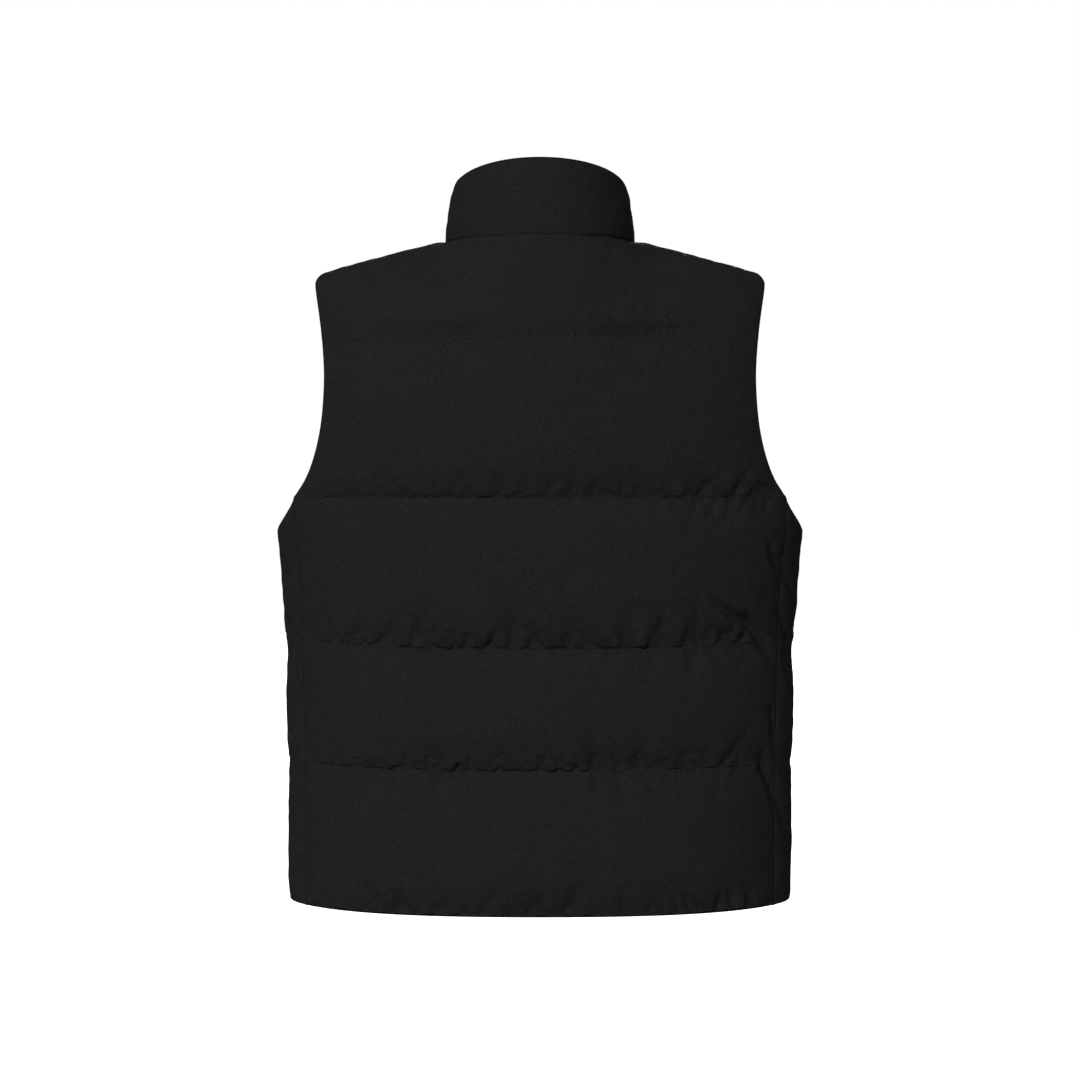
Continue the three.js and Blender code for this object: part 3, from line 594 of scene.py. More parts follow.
# Which points lie on an edge that is sewn to another panel.
def sewnEdges(panel, row, angle, edges):
    if panel["face"] == "collar":
        return edges["bottom"]
    atSide = np.isclose(angle, body["sideSeamAngle"], atol=1e-4) & (row <= underarmLine)
    return (edges["top"] & (row > topChannel)) | (atSide & (edges["first"] | edges["last"]))


def parameterGrid(panel):
    row, angle = np.meshgrid(panel["rows"], panel["angles"], indexing="ij")
    if panel["face"] == "front":
        angle = np.where(row > underarmLine, np.minimum(angle, body["armholeFrontAngle"]), angle)
    return row, angle


# The rows and angles of a panel's points, where its open and its sewn edges stand back.
def insetGrid(panel, openInset, seamInset):
    face = panel["face"]
    row, angle = parameterGrid(panel)
    edges = edgesOf(cellsOf(panel))
    distance = np.where(sewnEdges(panel, row, angle, edges), seamInset, openInset)
    rowReach, angleReach = grid["reach"][face]
    climbs = panel["angles"][-1] > panel["angles"][0]
    newRow, newAngle = row.copy(), angle.copy()
    for key, sign in (("bottom", 1), ("top", -1)):
        at = edges[key]
        reach = sign * rowReach
        newRow[at] += reach * stepIn(face, row[at], angle[at], reach, 0, distance[at])
    for key, inward in (("first", 1), ("last", -1)):
        at = edges[key]
        sign = 1 if face != "front" else inward if climbs else -inward
        reach = sign * angleReach
        newAngle[at] += reach * stepIn(face, row[at], angle[at], 0, reach, distance[at])
    return newRow, newAngle


panels = [
    panelGrid("back_shell", "back", 0),
    panelGrid("front_left_shell", "front", 1),
    panelGrid("front_right_shell", "front", -1),
    panelGrid("collar_shell", "collar", 0),
]
for number, panel in enumerate(panels):
    panel["number"] = number
    print(panel["name"], "grid", len(panel["rows"]), "x", len(panel["angles"]))

neckRounding = {"perDistance": 0.8, "most": 0.024}


# Rounds a sheet across the column below each neck point, the wider the further down, because the
# corner where the neck seam meets the shoulder seam leaves no crease in the cloth.
def roundNeckPoint(panel, angle, sheet):
    if panel["face"] == "collar":
        return sheet
    share = ringShare(angle[-1]) / ringShare(edgeAngle(panel["face"]))
    away = np.abs(acrossPanel(panel["face"], share, body["shoulderHalfWidth"]) - neck["halfWidth"])
    half = len(away) // 2
    centres = [int(np.argmin(away))]
    if panel["face"] == "back":
        centres = [int(np.argmin(away[:half])), half + int(np.argmin(away[half:]))]
    rounded = sheet.copy()
    columns = np.arange(len(away))
    for number, line in enumerate(sheet):
        if panel["rows"][number] > underarmLine:
            for centre in centres:
                spacing = np.linalg.norm(line[centre + 1] - line[centre - 1]) / 2
                down = np.linalg.norm(sheet[-1, centre] - line[centre])
                reach = min(neckRounding["perDistance"] * down, neckRounding["most"]) / spacing
                reach = min(reach, centre - 1.5, len(away) - centre - 2.5)

                def at(column):
                    return np.array([np.interp(column, columns, line[:, k]) for k in range(3)])

                low, high = centre - reach, centre + reach
                if reach > 0.5:
                    inner = columns[(columns > low) & (columns < high)]
                    t = ((inner - low) / (high - low))[:, None]
                    rise = (at(low + 0.5) - at(low - 0.5)) * (high - low)
                    fall = (at(high + 0.5) - at(high - 0.5)) * (high - low)
                    curve = (2 * t**3 - 3 * t**2 + 1) * at(low) + (3 * t**2 - 2 * t**3) * at(high)
                    rounded[number, inner] = curve + (t**3 - 2 * t**2 + t) * rise + (t**3 - t**2) * fall
    return rounded


# Where the cloth has more length than the line it is sewn to, so that it puckers. The columns are the
# number of the line, the x of the middle, the spread and the strength.
gathers = {
    "back": [
        (3, -0.165, 0.035, 0.9),
        (3, -0.215, 0.035, 1),
        (3, -0.06, 0.06, 0.5),
        (2, -0.17, 0.045, 1),
        (2, -0.07, 0.05, 0.6),
        (2, 0.03, 0.05, 0.5),
        (2, 0.125, 0.045, 0.7),
        (1, 0.095, 0.03, 0.8),
        (1, -0.05, 0.03, 0.9),
        (1, -0.09, 0.03, 0.8),
        (1, -0.19, 0.045, 0.6),
        (0, 0.125, 0.03, 0.9),
        (0, 0, 0.042, 0.9),
        (0, -0.165, 0.042, 1.1),
    ],
    "front": [
        (3, 0.17, 0.05, 0.9),
        (3, -0.16, 0.06, 0.8),
        (3, 0.06, 0.04, 0.5),
        (2, 0.19, 0.05, 0.9),
        (2, 0.07, 0.045, 0.7),
        (2, -0.08, 0.05, 0.7),
        (2, -0.2, 0.05, 0.9),
        (1, 0.13, 0.04, 0.8),
        (1, -0.05, 0.04, 0.6),
        (1, -0.15, 0.05, 0.8),
        (0, 0.09, 0.04, 0.6),
        (0, -0.11, 0.05, 0.6),
    ],
}

filling = {
    "frames": 16,
    "cloth": {
        "quality": 4,
        "mass": 0.12,
        "tension_stiffness": 12,
        "compression_stiffness": 12,
        "shear_stiffness": 3,
        "bending_stiffness": 0.03,
        "tension_damping": 5,
        "compression_damping": 5,
        "air_damping": 2,
        "use_pressure": True,
        "uniform_pressure_force": 5.0,
        "pin_stiffness": 1,
    },
    "roughness": 0.00035,        # of the start, which lets the cloth choose its own small waves
    "roughnessWave": 0.02,
    "mostMiddle": 0.007,         # how far the cloth may move, also at the sides and in the yoke,
    "mostSide": 0.0022,          # because the outline of the vest shows no scallops
    "mostYoke": 0.0025,
    "sideX": 0.25,
    "sidePower": 4,
    "seed": 7,
}

waves = {"count": 14, "lengths": (0.6, 1.7)}     # of a ripple, with how many to a wavelength


# A soft irregular wave over points, always the same for one seed.
def ripple(points, wavelength, seed):
    random = np.random.default_rng(seed)
    total = np.zeros(points.shape[:-1])
    for _ in range(waves["count"]):
        direction = random.normal(size=3)
        turns = 2 * np.pi * random.uniform(*waves["lengths"])
        direction *= turns / wavelength / np.linalg.norm(direction)
        total += np.sin(points @ direction + random.uniform(0, 2 * np.pi))
    return total / math.sqrt(waves["count"])


# Creases that cross a side seam, from one point of the side to another, as y and height.
sideCreases = [
    {"side": -1, "from": (0.054, 0.340), "to": (0.006, 0.272), "width": 0.0068, "depth": 0.0040},
    {"side": -1, "from": (0.052, 0.296), "to": (0.030, 0.262), "width": 0.0050, "depth": 0.0028},
    {"side": -1, "from": (0.040, 0.246), "to": (0.016, 0.200), "width": 0.0060, "depth": 0.0026},
    {"side": -1, "from": (0.054, 0.196), "to": (0.050, 0.164), "width": 0.0050, "depth": 0.0030},
    {"side": -1, "from": (0.060, 0.150), "to": (0.030, 0.068), "width": 0.0065, "depth": 0.0036},
    {"side": 1, "from": (0.050, 0.310), "to": (0.018, 0.262), "width": 0.0070, "depth": 0.0022},
    {"side": 1, "from": (0.046, 0.182), "to": (0.030, 0.140), "width": 0.0060, "depth": 0.0018},
]

creaseForm = {
    "ridge": 0.8,                # how much of the depth rises again beside it
    "ends": (0.12, 0.88),        # of half a wave, where a crease starts and stops
    "fromX": 0.18,
}


def sideDepth(sheet):
    depth = np.zeros(sheet.shape[:-1])
    for crease in sideCreases:
        start, end = np.array(crease["from"]), np.array(crease["to"])
        flat = np.stack([sheet[..., 1], sheet[..., 2] + body["originHeight"]], -1) - start
        along = np.clip(flat @ (end - start) / np.sum((end - start) ** 2), 0, 1)
        away = lengths(flat - along[..., None] * (end - start)) / crease["width"]
        trough = (1 - creaseForm["ridge"] * away**2) * np.exp(-(away**2))
        trough = trough * np.sin(np.pi * mix(*creaseForm["ends"], along))
        here = crease["side"] * sheet[..., 0] > creaseForm["fromX"]
        depth += np.where(here, crease["depth"] * trough, 0)
    return depth


pucker = {
    "apart": (0.007, 0.018),
    "width": (0.0028, 0.0052),
    "peak": (0.004, 0.010),      # how far from the stitching a pucker is deepest
    "depth": 0.0040,
    "sizes": (0.4, 1.25),        # the shares of that depth that the puckers have
    "plain": [0.42, 0.24, 0.38, 0.20, 0.42],    # the strength of every line where nothing gathers it
    "above": 1.0,
    "below": 0.5,
    "yoke": 0.12,
    "lean": 0.45,
    "widening": 0.03,            # how far from the stitching a pucker is twice as wide
    "flatness": 1.6,             # of a pucker's trough, where 2 is a bell
    "reachAround": 0.04,
    "reachAway": 0.06,
    "endGap": 0.006,
    "sag": [0, 0.0036, 0.0030, 0.0018, 0],      # how far a channel hangs over the line below it
    "sagHeight": 0.007,
    "sagWave": 0.016,
    "sagShare": 0.95,            # the even part of it, the part that comes and goes, and the most
    "sagRange": 0.65,
    "sagMost": 1.8,
    "seed": 11,
}


def gatherStrength(face, line, x):
    strength = pucker["plain"][line] + 0 * x
    for gathered, middle, spread, extra in gathers[face]:
        if gathered == line:
            strength = strength + extra * np.exp(-(((x - middle) / spread) ** 2))
    return strength


# How far each point is round the body from the middle of the back or from the zip.
def roundTheBody(face, sides, sheet):
    run = np.stack([travelled(line) for line in sheet])
    if face in ("back", "collar"):
        start = len(sides) // 2
    else:
        start = 0 if sides[0] > 0 else len(sides) - 1
    return run - run[:, start : start + 1]


# The creases that run from each line of stitching into the channels beside it.
def puckerDepths(panel, row, angle, outside):
    face = panel["face"]
    point, toLower, toUpper, toEdge = seamDistances(face, row, angle)
    around = roundTheBody(face, panel["sides"], outside)
    random = np.random.default_rng(pucker["seed"] + panel["number"])
    depth = np.zeros(row.shape)
    channel = np.clip(np.floor(row), 0, topChannel)
    for line in range(topRow):
        at = int(np.argmin(np.abs(panel["rows"] - line)))
        place = around[at].min() + random.uniform(*pucker["apart"])
        while place < around[at].max() - pucker["endGap"]:
            x = float(np.interp(place, around[at], outside[at, :, 0]))
            strength = float(gatherStrength(face, line, x))
            strength *= pucker["yoke"] if line == topChannel else 1
            width, peak = random.uniform(*pucker["width"]), random.uniform(*pucker["peak"])
            size = pucker["depth"] * strength * random.uniform(*pucker["sizes"])
            for beside, away, share in ((line, toLower, "above"), (line - 1, toUpper, "below")):
                lean = random.normal(0, pucker["lean"])
                used = (channel == beside) & (away < pucker["reachAway"])
                used &= np.abs(around - place) < pucker["reachAround"]
                far = away[used]
                across = (around[used] - place - lean * far) / (width * (1 + far / pucker["widening"]))
                along = far / peak * np.exp(1 - far / peak)
                trough = np.exp(-np.abs(across) ** pucker["flatness"])
                depth[used] += size * pucker[share] * along * trough
            place += random.uniform(*pucker["apart"])
    return depth * swell(toEdge, body["swellAcross"]), toLower, toUpper, toEdge, around


# A panel as it goes into the simulation.
def clothStart(panel):
    row, angle = insetGrid(panel, grid["openRound"], grid["seamRound"])
    side = np.broadcast_to(panel["sides"], row.shape)
    inside, outside, out = wallAt(panel["face"], row, angle, side)
    outside = roundNeckPoint(panel, angle, outside)
    cells = cellsOf(panel)
    edges = edgesOf(cells)
    used = edges["used"]
    sewn = edges["bottom"] | edges["top"] | edges["first"] | edges["last"]
    if panel["face"] != "collar":
        sewn |= np.isclose(row, np.round(row), atol=1e-7)
    wave = ripple(outside, filling["roughnessWave"], filling["seed"]) * filling["roughness"]
    points = outside + out * np.where(sewn, 0, wave)[..., None]
    index = np.full(row.shape, -1)
    index[used] = np.arange(used.sum())
    return {
        "used": used, "outside": outside, "points": points[used],
        "faces": cornersOf(index)[cells], "sewn": sewn[used],
    }


# Fills the sewn cloth with air in Blender's cloth simulation and returns how far each point moved.
def fillCloth():
    starts = [clothStart(panel) for panel in panels]
    firsts = np.cumsum([0] + [len(start["points"]) for start in starts])
    faces = np.concatenate([start["faces"] + first for start, first in zip(starts, firsts)])
    mesh = bpy.data.meshes.new("filling")
    mesh.from_pydata(np.concatenate([start["points"] for start in starts]), [], faces.tolist())
    cloth = bpy.data.objects.new("filling", mesh)
    bpy.context.scene.collection.objects.link(cloth)
    sewn = np.flatnonzero(np.concatenate([start["sewn"] for start in starts]))
    cloth.vertex_groups.new(name="pins").add(sewn.tolist(), 1, "REPLACE")
    # Nothing shrinks, but the solver's result is up to 0.2 mm another one without this group.
    cloth.vertex_groups.new(name="all").add(list(range(len(mesh.vertices))), 1, "REPLACE")
    modifier = cloth.modifiers.new("filling", "CLOTH")
    for key, value in filling["cloth"].items():
        setattr(modifier.settings, key, value)
    modifier.settings.vertex_group_mass = "pins"
    modifier.settings.vertex_group_shrink = "all"
    modifier.settings.effector_weights.gravity = 0
    modifier.collision_settings.use_collision = False
    modifier.collision_settings.use_self_collision = False
    modifier.point_cache.frame_end = filling["frames"]
    for number in range(1, filling["frames"] + 1):
        bpy.context.scene.frame_set(number)
    graph = bpy.context.evaluated_depsgraph_get()
    shaped = cloth.evaluated_get(graph).data
    flat = np.empty(len(shaped.vertices) * 3, np.float32)
    shaped.vertices.foreach_get("co", flat)
    ended = flat.reshape(-1, 3).astype(float)
    bpy.data.objects.remove(cloth)
    bpy.data.meshes.remove(mesh)
    bpy.context.scene.frame_set(1)
    return [
        limitedMove(panel, start, ended[first : first + len(start["points"])])
        for panel, start, first in zip(panels, starts, firsts)
    ]


# How far each point of a panel moved, eased towards the most that it may.
def limitedMove(panel, start, ended):
    outside = start["outside"]
    move = np.zeros(outside.shape)
    move[start["used"]] = ended - outside[start["used"]]
    share = np.clip(np.abs(outside[..., 0]) / filling["sideX"], 0, 1)
    most = mix(filling["mostMiddle"], filling["mostSide"], share ** filling["sidePower"])
    most = np.where(panel["rows"][:, None] > topChannel, filling["mostYoke"], most)
    size = lengths(move)
    return move * (most * np.tanh(size / most) / np.maximum(size, 1e-9))[..., None]


def meshObject(name, points, faces, material, smooth=True):
    mesh = bpy.data.meshes.new(name)
    mesh.from_pydata([tuple(p) for p in points], [], faces)
    mesh.materials.append(material)
    mesh.polygons.foreach_set("use_smooth", [smooth] * len(mesh.polygons))
    made = bpy.data.objects.new(name, mesh)
    bpy.context.scene.collection.objects.link(made)
    return made


# The grid of a finished panel, twice as fine as the simulated one.
def finePanel(panel):
    fine = dict(panel, rows=halved(panel["rows"]), angles=halved(panel["angles"]))
    columns = np.arange(len(fine["angles"]))
    if panel["face"] == "front":
        fine["sides"] = panel["sides"][columns // 2]
    else:
        fine["sides"] = np.where(columns < len(panel["sides"]), 1.0, -1.0)
    return fine


# Presses the puckers and creases into the cloth, and lets it hang over the stitching below.
def shapeOutside(fine, row, angle, inside, outside, out):
    if fine["face"] == "collar":
        around = roundTheBody("collar", fine["sides"], outside)
        return outside, around, row * collar["length"], (1 - row) * collar["length"]
    depth, above, below, toEdge, around = puckerDepths(fine, row, angle, outside)
    spare = np.maximum(lengths(outside - inside) - body["leastThickness"], 0)
    outside = outside - out * (spare * np.tanh(depth / np.maximum(spare, 1e-6)))[..., None]
    hang = np.take(pucker["sag"], np.clip(np.floor(row), 0, topChannel).astype(int))
    sag = hang * above / pucker["sagHeight"] * np.exp(1 - above / pucker["sagHeight"])
    uneven = pucker["sagRange"] * ripple(outside, pucker["sagWave"], pucker["seed"])
    sag = sag * np.clip(pucker["sagShare"] + uneven - depth / pucker["depth"], 0, pucker["sagMost"])
    sag = sag * swell(toEdge, body["swellAcross"])
    outside = outside - np.stack([0 * sag, 0 * sag, sag], -1)
    return outside - out * sideDepth(outside)[..., None], around, above, below


# The four corners of each cell of a grid of points.
def cornersOf(number):
    return np.stack([number[:-1, :-1], number[:-1, 1:], number[1:, 1:], number[1:, :-1]], -1)


# The faces of the outside and of the turned edge, which runs in some layers to the inside.
def outerFaces(cells, quads, count, turns):
    padded = np.pad(cells, 1)
    faces = quads[cells].tolist()
    borders = [
        (padded[:-2, 1:-1], 0, 1),
        (padded[1:-1, 2:], 1, 2),
        (padded[2:, 1:-1], 2, 3),
        (padded[1:-1, :-2], 3, 0),
    ]
    for neighbour, a, b in borders:
        for corners in quads[cells & ~neighbour]:
            for layer in range(turns):
                up, down = layer * count, (layer + 1) * count
                faces.append([corners[b] + up, corners[a] + up, corners[a] + down, corners[b] + down])
    return faces


# The faces of the inside. Its cells are four times as wide and keep every point along the edges.
def innerFaces(cells, width, first):
    padded = np.pad(cells, 1)
    faces = []
    for low in range(0, cells.shape[0], grid["insideStep"]):
        for left in range(0, cells.shape[1], grid["insideStep"]):
            if not cells[low, left]:
                continue
            high = min(low + grid["insideStep"], cells.shape[0])
            right = min(left + grid["insideStep"], cells.shape[1])
            loop = [low * width + left]
            if not padded[low, left + 1]:
                loop += [low * width + k for k in range(left + 1, right)]
            loop.append(low * width + right)
            if not padded[low + 1, right + 1]:
                loop += [k * width + right for k in range(low + 1, high)]
            loop.append(high * width + right)
            if not padded[high + 1, left + 1]:
                loop += [high * width + k for k in range(right - 1, left, -1)]
            loop.append(high * width + left)
            if not padded[low + 1, left]:
                loop += [k * width + left for k in range(high - 1, low, -1)]
            faces.append([int(k) + first for k in reversed(loop)])
    return faces


# Lays a UV map over a mesh from one place for each of its points.
def layOut(made, places):
    layout = made.data.uv_layers.new(name="cloth")
    corners = np.empty(len(made.data.loops), int)
    made.data.loops.foreach_get("vertex_index", corners)
    layout.data.foreach_set("uv", places[corners].ravel())


# A closed wall: the shaped cloth outside, the turned edge and the plain inside.
def makeWall(panel, move, material):
    fine = finePanel(panel)
    row, angle = insetGrid(fine, grid["openRound"], grid["seamRound"])
    side = np.broadcast_to(fine["sides"], row.shape)
    inside, outside, out = wallAt(fine["face"], row, angle, side)
    inside = roundNeckPoint(fine, angle, inside)
    outside = roundNeckPoint(fine, angle, outside) + smoothHalved(move)
    outside, around, above, below = shapeOutside(fine, row, angle, inside, outside, out)
    tipInside, tipOutside, _ = wallAt(fine["face"], *insetGrid(fine, grid["edgeGap"], 0), side)
    tip, middle = (tipInside + tipOutside) / 2, (outside + inside) / 2
    layers = [outside]
    for turn in grid["edgeTurns"]:
        c, s = math.cos(math.radians(turn)), math.sin(math.radians(turn))
        layers.append(middle + c * (outside - middle) + s * (tip - middle))
    layers.append(inside)

    cells, number = cellsOf(fine), np.arange(row.size).reshape(row.shape)
    faces = outerFaces(cells, cornersOf(number), row.size, len(layers) - 1)
    faces += innerFaces(cells, row.shape[1], (len(layers) - 1) * row.size)
    kept = np.unique(np.concatenate([np.ravel(face) for face in faces]))
    renumber = np.zeros(len(layers) * row.size, int)
    renumber[kept] = np.arange(len(kept))
    points = np.concatenate([layer.reshape(-1, 3) for layer in layers])[kept]
    faces = [[int(renumber[k]) for k in face] for face in faces]
    wall = meshObject(panel["name"], points, faces, material)

    def everywhere(values):
        return np.tile(values.ravel(), len(layers))[kept]

    for label, values in (("around", around), ("aboveSeam", above), ("belowSeam", below)):
        stored = wall.data.attributes.new(label, "FLOAT", "POINT")
        stored.data.foreach_set("value", everywhere(values))
    level, middleColumn = outside[len(outside) // 3], outside[:, row.shape[1] // 2]
    across, climbing = np.meshgrid(travelled(level), travelled(middleColumn))
    layOut(wall, np.stack([everywhere(across), everywhere(climbing)], -1))
    print(panel["name"], len(faces), "faces")
    return wall, {"fine": fine, "outside": outside, "out": out, "around": around}


# Wraps a socket, so that maths on nodes is written as expressions. One without a socket starts a tree.
class Wire:
    def __init__(self, tree, socket=None):
        self.tree, self.socket = tree, socket

    # Adds a node, with its settings first and then the values or links of its sockets.
    def node(self, kind, settings=None, sockets=None, output=0):
        made = self.tree.nodes.new(kind)
        for key, value in (settings or {}).items():
            setattr(made, key, value)
        for key, value in (sockets or {}).items():
            if isinstance(value, Wire):
                self.tree.links.new(value.socket, made.inputs[key])
            else:
                made.inputs[key].default_value = value
        return Wire(self.tree, made.outputs[output] if made.outputs else None)

    # Another output of the same node.
    def other(self, output):
        return Wire(self.tree, self.socket.node.outputs[output])

    def maths(self, operation, *values):
        return self.node("ShaderNodeMath", {"operation": operation}, dict(enumerate(values)))

    def noise(self, scale, **sockets):
        return self.node("ShaderNodeTexNoise", {}, {"Vector": self, "Scale": scale, **sockets})

    def sine(self):
        return self.maths("SINE", self)

    def exponent(self):
        return self.maths("EXPONENT", self)

    def __add__(self, other):
        return self.maths("ADD", self, other)

    def __radd__(self, other):
        return self.maths("ADD", other, self)

    def __sub__(self, other):
        return self.maths("SUBTRACT", self, other)

    def __rsub__(self, other):
        return self.maths("SUBTRACT", other, self)

    def __mul__(self, other):
        return self.maths("MULTIPLY", self, other)

    def __rmul__(self, other):
        return self.maths("MULTIPLY", other, self)


def newMaterial(name):
    material = bpy.data.materials.new(name)
    material.use_nodes = True
    material.node_tree.nodes.clear()
    return material, Wire(material.node_tree)


def shade(tree, sockets):
    shader = tree.node("ShaderNodeBsdfPrincipled", {}, sockets)
    tree.node("ShaderNodeOutputMaterial", {}, {"Surface": shader})


def attributeOf(tree, label):
    return tree.node("ShaderNodeAttribute", {"attribute_name": label}, output="Fac")


# Mixes two colours over a surface, by a mask from 0 to 1.
def colourBy(mask, colours):
    return mask.node("ShaderNodeMix", {"data_type": "RGBA"}, {0: mask, 6: colours[0], 7: colours[1]}, 2)


def raisedBy(height):
    return height.node("ShaderNodeBump", {}, {"Height": height, "Strength": 1.0, "Distance": 1.0})


shellCloth = {
    "colours": ((0.0090, 0.0090, 0.0092, 1), (0.0184, 0.0184, 0.0187, 1)),
    "blotchScale": 26.0,         # per metre, of the uneven tone
    "blotches": 0.25,            # how much of the tone they make
    "grain": 2.6,                # how much of it the slubs make, above a start
    "grainStart": 0.92,
    "roughness": 0.79,
    "roughnessRange": 0.12,
    "specular": 0.02,
    "threadPitch": 0.0007,
    "weaveDepth": 0.00005,
    "slubSize": 0.0013,
    "slubDepth": 0.00006,
    "crumpleSize": 0.020,
    "crumpleRoughness": 0.45,
    "crumpleDepth": 0.0008,
    "gatherSize": 0.0055,        # of the small creases that run away from a line of stitching
    "gatherChange": 35.0,        # per metre, how fast they change on their way
    "gatherReach": 0.011,
    "gatherDepth": {"aboveSeam": 0.0022, "belowSeam": 0.0011},
}


def makeShellCloth():
    material, tree = newMaterial("shell_cloth")
    place = tree.node("ShaderNodeTexCoord", output="Object")
    warp = tree.node("ShaderNodeSeparateXYZ", {}, {"Vector": place.other("UV")})
    turns = math.pi / shellCloth["threadPitch"]
    weave = (warp * turns).sine() * (warp.other(1) * turns).sine()
    blotches = place.noise(shellCloth["blotchScale"], Detail=3.0)
    grain = place.noise(1 / shellCloth["slubSize"], Detail=2.0)
    rough = shellCloth["crumpleRoughness"]
    crumple = place.noise(1 / shellCloth["crumpleSize"], Detail=2.0, Roughness=rough)
    tone = blotches * shellCloth["blotches"] + (grain * shellCloth["grain"] - shellCloth["grainStart"])

    relief = crumple * shellCloth["crumpleDepth"] + weave * shellCloth["weaveDepth"]
    relief = relief + grain * shellCloth["slubDepth"]
    around = attributeOf(tree, "around") * (1 / shellCloth["gatherSize"])
    for label, depth in shellCloth["gatherDepth"].items():
        away = attributeOf(tree, label)
        change = away * shellCloth["gatherChange"]
        run = tree.node("ShaderNodeCombineXYZ", {}, {"X": around, "Y": change})
        fading = (away * (-1 / shellCloth["gatherReach"])).exponent()
        relief = relief + run.noise(1.0, Detail=2.0) * fading * depth
    shade(tree, {
        "Base Color": colourBy(tone, shellCloth["colours"]),
        "Roughness": blotches * shellCloth["roughnessRange"] + shellCloth["roughness"],
        "Specular IOR Level": shellCloth["specular"],
        "Normal": raisedBy(relief),
    })
    return material


tapeCloth = {
    "colours": ((0.008, 0.008, 0.008, 1), (0.014, 0.014, 0.014, 1)),
    "ribPitch": 0.0009,
    "ribTone": 0.3,
    "ribDepth": 0.00006,
    "tickPitch": 0.0008,
    "tickTone": 0.2,
    "tickDepth": 0.00003,
    "roughness": 0.85,
    "specular": 0.2,
}


def makeTapeCloth():
    material, tree = newMaterial("zip_tape")
    layout = tree.node("ShaderNodeTexCoord", output="UV")
    across = tree.node("ShaderNodeSeparateXYZ", {}, {"Vector": layout})
    ribs = (across * (2 * math.pi / tapeCloth["ribPitch"])).sine()
    ticks = (across.other(1) * (2 * math.pi / tapeCloth["tickPitch"])).sine()
    tone = ribs * tapeCloth["ribTone"] + ticks * tapeCloth["tickTone"] + 0.5
    shade(tree, {
        "Base Color": colourBy(tone, tapeCloth["colours"]),
        "Roughness": tapeCloth["roughness"],
        "Specular IOR Level": tapeCloth["specular"],
        "Normal": raisedBy(ribs * tapeCloth["ribDepth"] + ticks * tapeCloth["tickDepth"]),
    })
    return material


# The finishes of the small parts: mottled in colour, and some in gloss and relief too.
finishes = {
    "thread": {
        "colours": ((0.010, 0.010, 0.010, 1), (0.020, 0.020, 0.020, 1)),
        "mottleScale": 2500.0, "detail": 1.0, "roughness": 0.6, "specular": 0.3, "metallic": 0,
    },
    "zip_plastic": {
        "colours": ((0.006, 0.006, 0.006, 1), (0.011, 0.011, 0.011, 1)),
        "mottleScale": 600.0, "detail": 2.0, "roughness": 0.45, "roughnessRange": 0.15,
        "specular": 0.22, "metallic": 0,
    },
    "zip_metal": {
        "colours": ((0.015, 0.015, 0.016, 1), (0.030, 0.030, 0.032, 1)),
        "mottleScale": 350.0, "detail": 3.0, "roughness": 0.32, "roughnessRange": 0.2,
        "relief": 0.00004, "specular": 0.4, "metallic": 0.2,
    },
}


def makeFinish(name):
    finish = finishes[name]
    material, tree = newMaterial(name)
    place = tree.node("ShaderNodeTexCoord", output="Object")
    mottle = place.noise(finish["mottleScale"], Detail=finish["detail"])
    sockets = {
        "Base Color": colourBy(mottle, finish["colours"]),
        "Roughness": finish["roughness"],
        "Specular IOR Level": finish["specular"],
        "Metallic": finish["metallic"],
    }
    if "roughnessRange" in finish:
        sockets["Roughness"] = mottle * finish["roughnessRange"] + finish["roughness"]
    if "relief" in finish:
        sockets["Normal"] = raisedBy(mottle * finish["relief"])
    shade(tree, sockets)
    return material


clothMaterial = makeShellCloth()
tapeMaterial = makeTapeCloth()
threadMaterial, plasticMaterial, metalMaterial = (makeFinish(name) for name in finishes)
print("materials made")

moves = fillCloth()
print("cloth filled")


